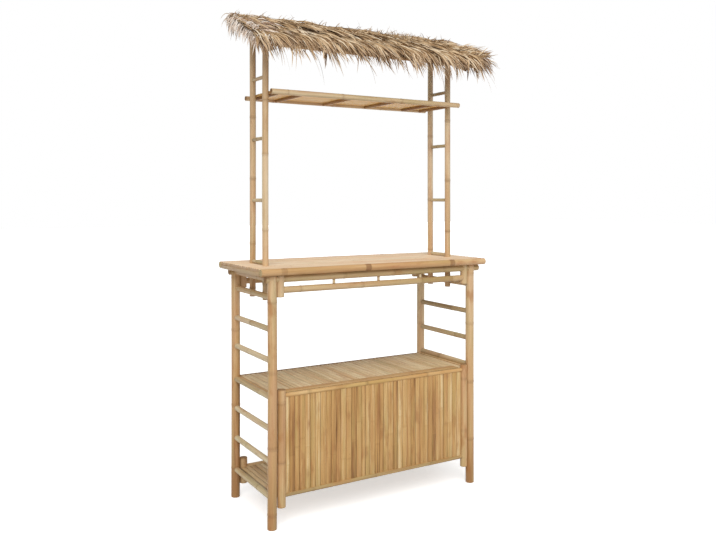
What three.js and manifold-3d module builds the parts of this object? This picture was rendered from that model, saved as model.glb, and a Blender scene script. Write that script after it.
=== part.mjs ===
// Tiki bar hut: a bamboo counter with ladder sides and shelves, a tower of uprights and a thatched roof.
// Millimetres. X runs along the counter, -Y faces the guests, +Z is up.
// The origin is on the floor, in the middle.

import * as THREE from 'three';
import { mergeVertices } from 'three/addons/utils/BufferGeometryUtils.js';
import Module from 'manifold-3d';

const wasm = await Module();
wasm.setup();

// Clearances
const fitGap = 0.3;
const weldDistance = 0.0001;

// Bamboo knuckles. A pole's stated radius is the radius at its knuckles, and it is slimmer between them.
const knuckleRise = 0.6;
const knuckleHalfWidth = 6;
const knuckleEndMargin = 18;
const legKnucklePitch = 265;
const railKnucklePitch = 285;
const thickSides = 12;
const slimSides = 8;

// Where a pole's first knuckle lies, as a share of the pitch from its lower or left end
const halfPitchShare = 0.5;
const legKnuckleShare = 0.34;
const uprightKnuckleShares = { front: 0.22, rear: 0.52 };
const edgePoleKnuckleShare = 0.35;
const apronLowerKnuckleShare = 0.3;
const upperRailKnuckleShare = 0.6;

// Legs and their ladders
const legRadius = 19;
const legSpanX = 963;
const legSpanY = 376.2;
const rungRadius = 11.8;
const sideRailRadius = 11.8;
const lowRailDrop = 3;
const midRailRises = { left: -4.4, right: 19 };

// Counter top
const topHeight = 1000;
const topEndOverhang = 60;
const topSideOverhang = 41.1;
const edgePoleRadius = 14.3;
const topSlatThickness = 12;
const topSlatCount = 18;
const topBattenWidth = 30;
const topBattenCount = 6;

// Aprons
const apronUpperRadius = 14.4;
const apronUpperOverhang = 43.5;
const apronLowerRadius = 13.4;
const apronLowerDrop = 86;
const apronPostRadius = 16.4;
const apronPostTail = 27;
const spacerRadius = 5;
const spacerPitch = 211;
const sideApronLowerDrop = 115;

// Front panel
const stileRadius = 16.4;
const stileTail = 44;
const stileRise = 24;
const trimRadius = 8.8;
const trimHeight = 506;
const bottomRailRadius = 9.2;
const bottomRailHeight = 121;
const panelSlatThickness = 9;
const panelSlatCount = 38;
const panelBattenWidth = 30;
const panelBattenThickness = 9;
const panelBattenShares = [-0.25, 0.25];

// Middle and bottom shelves
const shelfSlatThickness = 10;
const shelfSlatCount = 44;
const shelfBattenWidth = 26;
const shelfBattenThickness = 11;
const shelfBattenShares = [-0.33, 0.33];
const midShelfRise = 8;
const bottomShelfRise = 3;
const rearRailRadius = 11.8;
const stubPostRadius = 17;
const stubPostTail = 65;
const stubPostRise = 42;

// Tower
const uprightRadius = 13.2;
const uprightInset = 28.3;
const uprightSpanY = 132.8;
const towerSetBack = 3;
const uprightTail = 23;
const towerRungRadius = 8;

// Upper shelf
const upperShelfRise = 697;
const upperRailRadius = 11.6;
const upperRailDrop = 9.5;
const upperRailOverhang = 13.8;
const upperRailReach = 63.6;
const upperSlatThickness = 9;
const upperSlatCount = 12;
const upperBattenWidth = 16;
const upperBattenThickness = 12;

// Roof frame. Over the origin its poles' common plane lies roofRise above the upper shelf.
const roofRise = 245;
const roofSlope = THREE.MathUtils.degToRad(24);
const roofPoleRadius = 10;
const ridgePoleClearance = 4.5;
const eavePoleOverhang = 114.3;
const ridgePoleInset = 75;
const eavePoleInset = 85;
const rafterTail = 16;

// Thatch
const thatchEndOverhang = 146.8;
const thatchThickness = 26;
const thatchRearMargin = 16.1;
const thatchLipThickness = 14;
const thatchShoulderWidth = 55;
const thatchLipDrop = 40;
const strandWidth = 9;
const strandRoot = 5;
const strandLift = 22.2;
const strandCourses = 6;
const strandsPerCourse = 46;
const strandLength = 105;
const strandLengthSpread = 55;
const strandShorterShare = 0.35;
const strandLeanLeftShare = -0.3;
const strandLeanRightShare = 0.5;
const strandStaggerShares = [0.25, 0.75];
const firstCourseShare = 0.04;
const lastCourseShare = 0.9;
const bendWidthShare = 0.8;
const strandHeightShare = 0.45;
const bendDropShare = 0.25;
const endStrands = 14;
const endStrandReach = 55;
const endStrandDrop = 62;
const leastDropShare = 0.5;
const rearStrands = 36;
const rearStrandReach = 46;
const strayRise = 30;
const strayEvery = 5;

// Heights of the rungs, as shares: of the way from the low rail to the middle shelf's rail,
// from there to the leg's top, and from the tabletop to the upper shelf
const lowerRungShares = [0.348, 0.673];
const upperRungShares = [0.2937, 0.5511];
const towerRungShares = [0.372, 0.73, 1.082];

// Places of the upper shelf's inner battens, as shares of the uprights' span
const upperBattenShares = [-0.356, -0.104, 0.132, 0.361];

// Places that follow from the sizes above
const slimOf = (radius) => radius - knuckleRise;
const legX = legSpanX / 2;
const legY = legSpanY / 2;
const legInnerX = legX - slimOf(legRadius) - fitGap;
const legTop = topHeight - 2 * edgePoleRadius - fitGap;
const topLength = legSpanX + 2 * topEndOverhang;
const topDepth = legSpanY + 2 * topSideOverhang;
const apronUpperHeight = legTop - apronUpperRadius;
const apronLowerHeight = topHeight - apronLowerDrop;
const sideApronLowerHeight = topHeight - sideApronLowerDrop;
const midShelfTop = trimHeight + midShelfRise;
const bottomShelfTop = bottomRailHeight + bottomShelfRise;
const lowRailHeight = bottomRailHeight - lowRailDrop;
const rungHeights = [
  ...lowerRungShares.map((share) => lowRailHeight + share * (trimHeight - lowRailHeight)),
  ...upperRungShares.map((share) => trimHeight + share * (legTop - trimHeight)),
];
const postX = legInnerX - slimOf(apronPostRadius);
const stileX = legInnerX - slimOf(stileRadius);
const stubPostX = legInnerX - slimOf(stubPostRadius);
const uprightX = legX - uprightInset;
const uprightYs = [towerSetBack - uprightSpanY / 2, towerSetBack + uprightSpanY / 2];
const upperShelfTop = topHeight + upperShelfRise;
const upperRailSpanY = uprightSpanY + 2 * upperRailReach;
const roofPlaneHeight = upperShelfTop + roofRise;
const ridgePoleY = uprightYs[1] + uprightRadius + roofPoleRadius + ridgePoleClearance;
const eavePoleY = uprightYs[0] - eavePoleOverhang;
const thatchLength = 2 * (uprightX + thatchEndOverhang);
const uprightOuterX = uprightX + slimOf(uprightRadius) + fitGap;
const uprightInnerX = uprightX - slimOf(uprightRadius) - fitGap;
const shelfHalfLength = legX - legRadius - fitGap;
const sides = [
  { name: 'left', sign: -1 },
  { name: 'right', sign: 1 },
];
const rows = [
  { name: 'front', sign: -1 },
  { name: 'rear', sign: 1 },
];

// A repeatable number from 0 to 1 for each pair of whole numbers, used to vary the strands
const scatterScales = { index: 12.9898, series: 78.233, wave: 43758.5453 };

function scatter(index, series) {
  const angle = index * scatterScales.index + series * scatterScales.series;
  const wave = Math.sin(angle) * scatterScales.wave;
  return wave - Math.floor(wave);
}

function bambooMaterial(color) {
  return new THREE.MeshStandardMaterial({ color, roughness: 0.55, metalness: 0 });
}

const finishes = {
  leg: bambooMaterial(0xc79f66),
  rail: bambooMaterial(0xd0ab76),
  rung: bambooMaterial(0xc9a673),
  slat: bambooMaterial(0xc09660),
  top: bambooMaterial(0xdab98c),
  tower: bambooMaterial(0xc9a06a),
  thatch: new THREE.MeshStandardMaterial({ color: 0xa08a68, roughness: 0.95, metalness: 0 }),
};

// Solids and booleans

function bareGeometry(geometry) {
  const bare = geometry.clone();
  bare.deleteAttribute('normal');
  bare.deleteAttribute('uv');
  return mergeVertices(bare, weldDistance);
}

function solidOf(geometry) {
  const bare = bareGeometry(geometry);
  const index = bare.index.array;
  const triVerts = [];
  for (let i = 0; i < index.length; i += 3) {
    const [a, b, c] = [index[i], index[i + 1], index[i + 2]];
    if (a !== b && b !== c && c !== a) {
      triVerts.push(a, b, c);
    }
  }
  const mesh = new wasm.Mesh({
    numProp: 3,
    vertProperties: new Float32Array(bare.attributes.position.array),
    triVerts: new Uint32Array(triVerts),
  });
  mesh.merge();
  return new wasm.Manifold(mesh);
}

function geometryOf(solid) {
  const mesh = solid.getMesh();
  const geometry = new THREE.BufferGeometry();
  geometry.setAttribute('position', new THREE.BufferAttribute(new Float32Array(mesh.vertProperties), 3));
  geometry.setIndex(new THREE.BufferAttribute(new Uint32Array(mesh.triVerts), 1));
  geometry.computeVertexNormals();
  return geometry;
}

function fuse(geometries) {
  let solid = solidOf(geometries[0]);
  for (const geometry of geometries.slice(1)) {
    solid = solid.add(solidOf(geometry));
  }
  return geometryOf(solid);
}

// A shape that lies where one mesh lies, seen from the frame of another
function seenFrom(mesh, geometry, place) {
  mesh.updateWorldMatrix(true, false);
  place.updateWorldMatrix(true, false);
  return geometry.clone().applyMatrix4(mesh.matrixWorld.clone().invert().multiply(place.matrixWorld));
}

// Join meshes that lie in their places to a mesh, as one piece
function joinTo(mesh, pieces) {
  mesh.geometry = fuse([mesh.geometry, ...pieces.map((piece) => seenFrom(mesh, piece.geometry, piece))]);
  return mesh;
}

// Cut a mesh by poles that lie in their places, with the clearance around them
function cutBy(mesh, poles) {
  let solid = solidOf(mesh.geometry);
  for (const cutter of poles) {
    const { radius, length, knuckles, count } = cutter.userData;
    const shape = poleGeometry(radius + fitGap, length + 2 * fitGap, knuckles, count);
    solid = solid.subtract(solidOf(seenFrom(mesh, shape, cutter)));
  }
  mesh.geometry = geometryOf(solid);
  return mesh;
}

// Cut a notch for a pole that lies along X and is laid into the top of a mesh from above
function notchFor(mesh, laid) {
  cutBy(mesh, [laid]);
  const { radius, length } = laid.userData;
  const reach = radius + fitGap;
  const slot = new THREE.BoxGeometry(reach, 2 * reach, length);
  slot.translate(-reach / 2, 0, 0);
  mesh.geometry = geometryOf(solidOf(mesh.geometry).subtract(solidOf(seenFrom(mesh, slot, laid))));
}

// Poles: lathed bamboo, centred on the origin and lying along Z

function knucklePlaces(length, pitch, firstShare) {
  const places = [];
  const reach = length / 2 - knuckleEndMargin;
  for (let z = -length / 2 + pitch * firstShare; z < reach; z += pitch) {
    if (z > -reach) {
      places.push(z);
    }
  }
  return places;
}

function latheAlongZ(wall, count) {
  const foot = new THREE.Vector2(0, wall[0].y);
  const head = new THREE.Vector2(0, wall[wall.length - 1].y);
  const geometry = new THREE.LatheGeometry([foot, ...wall, head], count);
  return geometry.rotateX(Math.PI / 2);
}

function poleGeometry(radius, length, knuckles, count) {
  const slim = slimOf(radius);
  const wall = [new THREE.Vector2(slim, -length / 2)];
  for (const z of knuckles) {
    wall.push(new THREE.Vector2(slim, z - knuckleHalfWidth));
    wall.push(new THREE.Vector2(radius, z));
    wall.push(new THREE.Vector2(slim, z + knuckleHalfWidth));
  }
  wall.push(new THREE.Vector2(slim, length / 2));
  return latheAlongZ(wall, count);
}

const turnToX = new THREE.Euler(0, Math.PI / 2, 0);
const turnToY = new THREE.Euler(-Math.PI / 2, 0, 0);
const turnToZ = new THREE.Euler(0, 0, 0);

const polePattern = { pitch: railKnucklePitch, firstShare: halfPitchShare, count: slimSides };

function pole(name, { radius, length, at, turn, finish, ...pattern }) {
  const { pitch, firstShare, count } = { ...polePattern, ...pattern };
  const knuckles = knucklePlaces(length, pitch, firstShare);
  const mesh = new THREE.Mesh(poleGeometry(radius, length, knuckles, count), finish);
  mesh.name = name;
  mesh.userData = { radius, length, knuckles, count };
  mesh.position.set(at[0], at[1], at[2]);
  mesh.rotation.copy(turn);
  return mesh;
}

function post(name, { radius, foot, top, x, y, ...rest }) {
  const at = [x, y, (foot + top) / 2];
  return pole(name, { radius, length: top - foot, at, turn: turnToZ, ...rest });
}

// A mat of slats: crowned strips side by side across X, running along Y, with its top at z = 0.
// The strips are joined into one sheet, and square battens run across X under it.
const slatShoulderShare = 0.16;
const slatGrooveShare = 0.35;

function slatMatGeometry({ width, depth, thickness, count, battens, battenWidth, battenThickness }) {
  const pitch = width / count;
  const shoulder = pitch * slatShoulderShare;
  const groove = thickness * slatGrooveShare;
  const outline = [new THREE.Vector2(-width / 2, -thickness)];
  for (let i = 0; i < count; i += 1) {
    const left = -width / 2 + i * pitch;
    outline.push(new THREE.Vector2(left, -groove));
    outline.push(new THREE.Vector2(left + shoulder, 0));
    outline.push(new THREE.Vector2(left + pitch - shoulder, 0));
  }
  outline.push(new THREE.Vector2(width / 2, -groove), new THREE.Vector2(width / 2, -thickness));
  const shape = new THREE.Shape(outline);
  const sheet = new THREE.ExtrudeGeometry(shape, { depth, bevelEnabled: false });
  sheet.translate(0, 0, -depth / 2);
  sheet.rotateX(Math.PI / 2);
  const parts = [sheet];
  for (const y of battens) {
    const sunk = thickness / 2;
    const batten = new THREE.BoxGeometry(width, battenWidth, battenThickness + sunk);
    batten.translate(0, y, -thickness - battenThickness / 2 + sunk / 2);
    parts.push(batten);
  }
  return fuse(parts);
}

const hut = new THREE.Group();

// Legs, with notches in their tops for the apron rails
const legs = {};
for (const side of sides) {
  for (const row of rows) {
    const name = `leg_${row.name}_${side.name}`;
    legs[name] = post(name, {
      radius: legRadius,
      foot: 0,
      top: legTop,
      x: side.sign * legX,
      y: row.sign * legY,
      finish: finishes.leg,
      pitch: legKnucklePitch,
      firstShare: legKnuckleShare,
      count: thickSides,
    });
  }
}

// Upper rails of the front and rear aprons, which lie in the notches
const apronUppers = {};
for (const row of rows) {
  apronUppers[row.name] = pole(`apron_upper_${row.name}`, {
    radius: apronUpperRadius,
    length: legSpanX + 2 * apronUpperOverhang,
    at: [0, row.sign * legY, apronUpperHeight],
    turn: turnToX,
    finish: finishes.rail,
  });
}

// Rungs and rails of the side ladders, coped to the legs and to what else crosses their ends
function sideRail(name, side, { x, z, radius, finish, crossing = [] }) {
  const rail = pole(name, {
    radius,
    length: legSpanY,
    at: [side.sign * x, 0, z],
    turn: turnToY,
    finish,
  });
  hut.add(cutBy(rail, [legs[`leg_front_${side.name}`], legs[`leg_rear_${side.name}`], ...crossing]));
}

for (const side of sides) {
  rungHeights.forEach((z, i) => {
    sideRail(`rung_${side.name}_${i + 1}`, side, { x: legX, z, radius: rungRadius, finish: finishes.rung });
  });
  const rail = { x: legX, radius: sideRailRadius, finish: finishes.rail };
  sideRail(`low_rail_${side.name}`, side, { ...rail, z: lowRailHeight });
  sideRail(`mid_rail_${side.name}`, side, { ...rail, z: trimHeight + midRailRises[side.name] });
}

// Front and rear aprons under their upper rails: corner posts, and a lower rail with three spacers
for (const row of rows) {
  const y = row.sign * legY;
  const upper = apronUppers[row.name];
  const posts = sides.map((side) => post(`apron_post_${row.name}_${side.name}`, {
    radius: apronPostRadius,
    foot: apronLowerHeight - apronPostTail,
    top: legTop,
    x: side.sign * postX,
    y,
    finish: finishes.rail,
    count: thickSides,
  }));
  const lower = pole(`apron_lower_${row.name}`, {
    radius: apronLowerRadius,
    length: 2 * postX,
    at: [0, y, apronLowerHeight],
    turn: turnToX,
    finish: finishes.rail,
    firstShare: apronLowerKnuckleShare,
  });
  const spacers = [-spacerPitch, 0, spacerPitch].map((x) => post('spacer', {
    radius: spacerRadius,
    foot: apronLowerHeight,
    top: apronUpperHeight,
    x,
    y,
    finish: finishes.rail,
  }));
  joinTo(lower, spacers);
  cutBy(lower, [...posts, upper]);
  sides.forEach((side, i) => {
    const leg = legs[`leg_${row.name}_${side.name}`];
    cutBy(posts[i], [leg]);
    notchFor(posts[i], upper);
    notchFor(leg, upper);
  });
  hut.add(upper, lower, ...posts);
}
Object.values(legs).forEach((leg) => hut.add(leg));

// Tower uprights: through the tabletop and down past the side aprons
const thatchUnderside = roofPlaneHeight + (roofPoleRadius + fitGap) / Math.cos(roofSlope);

function undersideAt(y) {
  return thatchUnderside + y * Math.tan(roofSlope);
}

function pairOf(side) {
  return rows.map((row) => uprights[`upright_${row.name}_${side.name}`]);
}

const uprights = {};
for (const side of sides) {
  rows.forEach((row, i) => {
    const y = uprightYs[i];
    const name = `upright_${row.name}_${side.name}`;
    uprights[name] = post(name, {
      radius: uprightRadius,
      foot: sideApronLowerHeight - uprightTail,
      top: undersideAt(y - uprightRadius) - fitGap,
      x: side.sign * uprightX,
      y,
      finish: finishes.tower,
      firstShare: uprightKnuckleShares[row.name],
    });
    hut.add(uprights[name]);
  });
}

// Rails of the side aprons, along the outer sides of the uprights
for (const side of sides) {
  sideRail(`side_apron_upper_${side.name}`, side, {
    x: uprightOuterX + slimOf(apronUpperRadius),
    z: apronUpperHeight,
    radius: apronUpperRadius,
    finish: finishes.rail,
    crossing: [...Object.values(apronUppers), ...pairOf(side)],
  });
  sideRail(`side_apron_lower_${side.name}`, side, {
    x: uprightOuterX + slimOf(sideRailRadius),
    z: sideApronLowerHeight,
    radius: sideRailRadius,
    finish: finishes.rail,
    crossing: pairOf(side),
  });
}

// Tower rungs, the lowest lying on the tabletop
const towerRungHeights = [
  topHeight + fitGap + towerRungRadius,
  ...towerRungShares.map((share) => topHeight + share * upperShelfRise),
];
for (const side of sides) {
  towerRungHeights.forEach((z, i) => {
    const rung = pole(`tower_rung_${side.name}_${i}`, {
      radius: towerRungRadius,
      length: uprightSpanY,
      at: [side.sign * uprightX, towerSetBack, z],
      turn: turnToY,
      finish: finishes.rung,
    });
    hut.add(cutBy(rung, pairOf(side)));
  });
}

// Tabletop: a mat of slats on battens between two round edge poles
const edgePoleY = topDepth / 2 - edgePoleRadius;
const topMatWidth = topDepth - 4 * edgePoleRadius - 2 * fitGap;
const topBattenPitch = (topLength - topBattenWidth) / (topBattenCount - 1);
const topBattens = Array.from(
  { length: topBattenCount },
  (_, i) => (i - (topBattenCount - 1) / 2) * topBattenPitch,
);
const tabletop = new THREE.Mesh(slatMatGeometry({
  width: topMatWidth,
  depth: topLength,
  thickness: topSlatThickness,
  count: topSlatCount,
  battens: topBattens,
  battenWidth: topBattenWidth,
  battenThickness: 2 * edgePoleRadius - topSlatThickness,
}), finishes.top);
tabletop.name = 'tabletop_slats';
tabletop.position.set(0, 0, topHeight);
tabletop.rotation.set(0, 0, Math.PI / 2);
hut.add(cutBy(tabletop, Object.values(uprights)));
for (const row of rows) {
  hut.add(pole(`tabletop_edge_${row.name}`, {
    radius: edgePoleRadius,
    length: topLength,
    at: [0, row.sign * edgePoleY, topHeight - edgePoleRadius],
    turn: turnToX,
    finish: finishes.top,
    firstShare: edgePoleKnuckleShare,
    count: thickSides,
  }));
}

// Front panel: stiles, trim, bottom rail and the mat of upright slats between them
const stiles = sides.map((side) => cutBy(post(`panel_stile_${side.name}`, {
  radius: stileRadius,
  foot: bottomRailHeight - stileTail,
  top: trimHeight + stileRise,
  x: side.sign * stileX,
  y: -legY,
  finish: finishes.leg,
  count: thickSides,
}), [legs[`leg_front_${side.name}`]]));

function panelRail(name, radius, z) {
  const rail = pole(name, {
    radius,
    length: 2 * stileX,
    at: [0, -legY, z],
    turn: turnToX,
    finish: finishes.rail,
  });
  return cutBy(rail, stiles);
}

const trim = panelRail('panel_trim', trimRadius, trimHeight);
const bottomRail = panelRail('panel_bottom_rail', bottomRailRadius, bottomRailHeight);
const matFoot = bottomRailHeight + bottomRailRadius + fitGap;
const matHead = trimHeight - trimRadius - fitGap;
const matHeight = matHead - matFoot;
const panelMat = new THREE.Mesh(slatMatGeometry({
  width: 2 * (stileX - stileRadius - fitGap),
  depth: matHeight,
  thickness: panelSlatThickness,
  count: panelSlatCount,
  battens: panelBattenShares.map((share) => share * matHeight),
  battenWidth: panelBattenWidth,
  battenThickness: panelBattenThickness,
}), finishes.slat);
panelMat.name = 'panel_slats';
panelMat.position.set(0, -legY - panelSlatThickness / 2, (matFoot + matHead) / 2);
panelMat.rotation.set(Math.PI / 2, 0, 0);
hut.add(...stiles, trim, bottomRail, panelMat);

// Rear rails: the middle shelf's between the rear legs, the bottom shelf's between its stub posts
const rearLegs = sides.map((side) => legs[`leg_rear_${side.name}`]);
hut.add(cutBy(pole('mid_shelf_rear_rail', {
  radius: trimRadius,
  length: 2 * legX,
  at: [0, legY, trimHeight],
  turn: turnToX,
  finish: finishes.rail,
}), rearLegs));

const stubPosts = sides.map((side, i) => cutBy(post('stub', {
  radius: stubPostRadius,
  foot: lowRailHeight - stubPostTail,
  top: lowRailHeight + stubPostRise,
  x: side.sign * stubPostX,
  y: legY,
  finish: finishes.rail,
  count: thickSides,
}), [rearLegs[i]]));
hut.add(joinTo(pole('bottom_shelf_rear_frame', {
  radius: rearRailRadius,
  length: 2 * stubPostX,
  at: [0, legY, lowRailHeight],
  turn: turnToX,
  finish: finishes.rail,
}), stubPosts));

// Shelves: mats of slats that run from front to back, between the front and rear rails
function shelfMat(name, top, frontRadius, rearRadius, corners) {
  const front = -legY + frontRadius + fitGap;
  const rear = legY - rearRadius - fitGap;
  const depth = rear - front;
  const mat = new THREE.Mesh(slatMatGeometry({
    width: 2 * shelfHalfLength,
    depth,
    thickness: shelfSlatThickness,
    count: shelfSlatCount,
    battens: shelfBattenShares.map((share) => share * depth),
    battenWidth: shelfBattenWidth,
    battenThickness: shelfBattenThickness,
  }), finishes.slat);
  mat.name = name;
  mat.position.set(0, (front + rear) / 2, top);
  return cutBy(mat, corners);
}

const lowerPosts = [...stiles, ...stubPosts];
hut.add(shelfMat('mid_shelf_slats', midShelfTop, trimRadius, trimRadius, stiles));
hut.add(shelfMat('bottom_shelf_slats', bottomShelfTop, bottomRailRadius, rearRailRadius, lowerPosts));

// Upper shelf: two rails outside the uprights, and a mat of lengthwise slats on cross battens between them
for (const row of rows) {
  hut.add(pole(`upper_shelf_rail_${row.name}`, {
    radius: upperRailRadius,
    length: 2 * (uprightX + upperRailOverhang),
    at: [0, towerSetBack + row.sign * upperRailSpanY / 2, upperShelfTop - upperRailDrop],
    turn: turnToX,
    finish: finishes.rail,
    firstShare: upperRailKnuckleShare,
  }));
}
const upperMatLength = 2 * uprightInnerX;
const endBatten = uprightInnerX - upperBattenWidth / 2;
const innerBattens = upperBattenShares.map((share) => share * 2 * uprightX);
const upperMat = new THREE.Mesh(slatMatGeometry({
  width: upperRailSpanY - 2 * upperRailRadius - 2 * fitGap,
  depth: upperMatLength,
  thickness: upperSlatThickness,
  count: upperSlatCount,
  battens: [-endBatten, ...innerBattens, endBatten].map((x) => -x),
  battenWidth: upperBattenWidth,
  battenThickness: upperBattenThickness,
}), finishes.slat);
upperMat.name = 'upper_shelf_slats';
upperMat.position.set(0, towerSetBack, upperShelfTop);
upperMat.rotation.set(0, 0, Math.PI / 2);
hut.add(cutBy(upperMat, Object.values(uprights)));

// Roof frame, turned to the slope: two rafters beside the uprights, and two poles across them
const roofFrame = new THREE.Group();
roofFrame.position.set(0, 0, roofPlaneHeight);
roofFrame.rotation.set(roofSlope, 0, 0);
const ridgePoleReach = ridgePoleY / Math.cos(roofSlope);
const eavePoleReach = -eavePoleY / Math.cos(roofSlope);
const ridgePole = pole('ridge_pole', {
  radius: roofPoleRadius,
  length: thatchLength - 2 * ridgePoleInset,
  at: [0, ridgePoleReach, 0],
  turn: turnToX,
  finish: finishes.tower,
});
const eavePole = pole('eave_pole', {
  radius: roofPoleRadius,
  length: thatchLength - 2 * eavePoleInset,
  at: [0, -eavePoleReach, 0],
  turn: turnToX,
  finish: finishes.tower,
});
roofFrame.add(ridgePole, eavePole);
for (const side of sides) {
  const rafter = pole(`rafter_${side.name}`, {
    radius: roofPoleRadius,
    length: ridgePoleReach + eavePoleReach + rafterTail,
    at: [
      side.sign * (uprightOuterX + slimOf(roofPoleRadius)),
      (ridgePoleReach - eavePoleReach + rafterTail) / 2,
      -2 * slimOf(roofPoleRadius) - fitGap,
    ],
    turn: turnToY,
    finish: finishes.tower,
  });
  roofFrame.add(rafter);
  cutBy(rafter, [ridgePole, eavePole, ...pairOf(side)]);
}
hut.add(roofFrame);

// Thatch: a backing that follows the slope and turns down in front of the eave pole, covered with strands.
// Its outline lies in the Y-Z plane. The top line runs from the rear edge to the foot of the lip.
const thatchRear = ridgePoleY + thatchRearMargin;
const lipInner = eavePoleY - roofPoleRadius - fitGap;
const thatchFront = thatchLipThickness - lipInner;
const lipFoot = undersideAt(lipInner) - thatchLipDrop;
const topRise = thatchThickness / Math.cos(roofSlope);

function topAt(y) {
  return undersideAt(y) + topRise;
}

const shoulderY = -thatchFront + thatchShoulderWidth;
const shoulderFoot = topAt(-thatchFront) - thatchShoulderWidth;
const topLine = new THREE.Path();
topLine.moveTo(thatchRear, topAt(thatchRear));
topLine.lineTo(shoulderY, topAt(shoulderY));
topLine.quadraticCurveTo(-thatchFront, topAt(-thatchFront), -thatchFront, shoulderFoot);
topLine.lineTo(-thatchFront, lipFoot);

const backingOutline = new THREE.Shape();
backingOutline.moveTo(thatchRear, undersideAt(thatchRear));
backingOutline.lineTo(lipInner, undersideAt(lipInner));
backingOutline.lineTo(lipInner, lipFoot);
backingOutline.lineTo(-thatchFront, lipFoot);
backingOutline.lineTo(-thatchFront, shoulderFoot);
backingOutline.quadraticCurveTo(-thatchFront, topAt(-thatchFront), shoulderY, topAt(shoulderY));
backingOutline.lineTo(thatchRear, topAt(thatchRear));

// Turns an outline drawn in X-Y and extruded along Z into one that lies in Y-Z and runs along X
const outlineToRoof = new THREE.Matrix4().makeBasis(
  new THREE.Vector3(0, 1, 0),
  new THREE.Vector3(0, 0, 1),
  new THREE.Vector3(1, 0, 0),
);
const backing = new THREE.ExtrudeGeometry(backingOutline, {
  depth: thatchLength,
  bevelEnabled: false,
  curveSegments: 3,
});
backing.translate(0, 0, -thatchLength / 2);
backing.applyMatrix4(outlineToRoof);

// A point above the top line: run is the distance along it, lift the height over it.
// Past the end of the line it goes on straight down.
const topLineLength = topLine.getLength();

function overTopLine(x, run, lift) {
  const share = Math.min(run / topLineLength, 1);
  const point = topLine.getPointAt(share);
  const tangent = topLine.getTangentAt(share);
  const beyond = Math.max(run - topLineLength, 0);
  return new THREE.Vector3(x, point.x + tangent.y * lift, point.y - tangent.x * lift - beyond);
}

// One strand: three-sided, from a root through a bend to a pointed tip
const strandEdges = [[0, 1], [1, 2], [2, 0]];

function addStrand(strands, root, bend, tip, normal) {
  const first = strands.positions.length / 3;
  const along = tip.clone().sub(root).normalize();
  const up = normal.clone().addScaledVector(along, -normal.dot(along)).normalize();
  const across = up.clone().cross(along);
  for (const [point, width] of [[root, strandWidth], [bend, strandWidth * bendWidthShare]]) {
    strands.positions.push(...point.clone().addScaledVector(across, width / 2).toArray());
    strands.positions.push(...point.clone().addScaledVector(up, width * strandHeightShare).toArray());
    strands.positions.push(...point.clone().addScaledVector(across, -width / 2).toArray());
  }
  strands.positions.push(...tip.toArray());
  strands.index.push(first, first + 2, first + 1);
  for (const [a, b] of strandEdges) {
    strands.index.push(first + a, first + b, first + 3 + b);
    strands.index.push(first + a, first + 3 + b, first + 3 + a);
    strands.index.push(first + 3 + a, first + 3 + b, first + 6);
  }
}

const strands = { positions: [], index: [] };
for (let course = 0; course < strandCourses; course += 1) {
  const place = firstCourseShare + (lastCourseShare - firstCourseShare) * course / (strandCourses - 1);
  const run = place * topLineLength;
  for (let i = 0; i < strandsPerCourse; i += 1) {
    const across = (i + strandStaggerShares[course % 2]) / strandsPerCourse;
    const x = (across - 0.5) * thatchLength;
    const lean = strandLeanLeftShare + (strandLeanRightShare - strandLeanLeftShare) * Math.sqrt(across);
    const room = thatchLength / 2 + endStrandReach - Math.abs(x);
    const courseLength = 1 - strandShorterShare * course / (strandCourses - 1);
    const wanted = (strandLength + strandLengthSpread * scatter(i, course)) * courseLength;
    const length = Math.min(wanted, room / Math.abs(lean));
    const lift = strandLift * length / (strandLength + strandLengthSpread);
    const root = overTopLine(x, run, -strandRoot);
    const bend = overTopLine(x + lean * length / 2, run + length / 2, lift / 2);
    const tip = overTopLine(x + lean * length, run + length, lift);
    const normal = overTopLine(x, run, 1).sub(overTopLine(x, run, 0));
    addStrand(strands, root, bend, tip, normal);
  }
}

// Strands that stick out of both ends and droop
for (const side of sides) {
  for (let i = 0; i < endStrands; i += 1) {
    const y = thatchRear - (i + 0.5) / endStrands * (thatchRear - shoulderY);
    const z = undersideAt(y) + topRise / 2;
    const faceX = side.sign * thatchLength / 2;
    const reach = side.sign * endStrandReach;
    const drop = endStrandDrop * (leastDropShare + (1 - leastDropShare) * scatter(i, side.sign));
    const root = new THREE.Vector3(faceX - side.sign * strandRoot, y, z);
    const bend = new THREE.Vector3(faceX + reach / 2, y, z - drop * bendDropShare);
    const tip = new THREE.Vector3(faceX + reach, y, z - drop);
    addStrand(strands, root, bend, tip, new THREE.Vector3(0, 0, 1));
  }
}

// Strands that stick out at the rear edge, some of them rising as strays
for (let i = 0; i < rearStrands; i += 1) {
  const x = ((i + 0.5) / rearStrands - 0.5) * thatchLength;
  const rise = i % strayEvery === 0 ? strayRise : -strayRise * scatter(i, strandCourses);
  const z = undersideAt(thatchRear) + topRise / 2;
  const root = new THREE.Vector3(x, thatchRear - strandRoot, z);
  const bendRise = (rearStrandReach + rise) * bendDropShare;
  const bend = new THREE.Vector3(x, thatchRear + rearStrandReach / 2, z + bendRise);
  const tip = new THREE.Vector3(x, thatchRear + rearStrandReach, z + rise);
  addStrand(strands, root, bend, tip, new THREE.Vector3(0, 0, 1));
}

const strandGeometry = new THREE.BufferGeometry();
strandGeometry.setAttribute('position', new THREE.Float32BufferAttribute(strands.positions, 3));
strandGeometry.setIndex(strands.index);
const thatch = new THREE.Mesh(fuse([backing, strandGeometry]), finishes.thatch);
thatch.name = 'thatch';
hut.add(thatch);

export default hut;
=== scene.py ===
"""The tiki bar hut: round bamboo culms, mats of split slats and a thatched roof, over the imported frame.

Lengths are in metres. X runs along the counter, -Y faces the guests and +Z is up.
"""
import logging
import math
import random
from dataclasses import dataclass, field, replace
from enum import Enum
from typing import Sequence, Union

import bmesh
import bpy
import numpy as np
from mathutils import Matrix, Vector, noise


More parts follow.
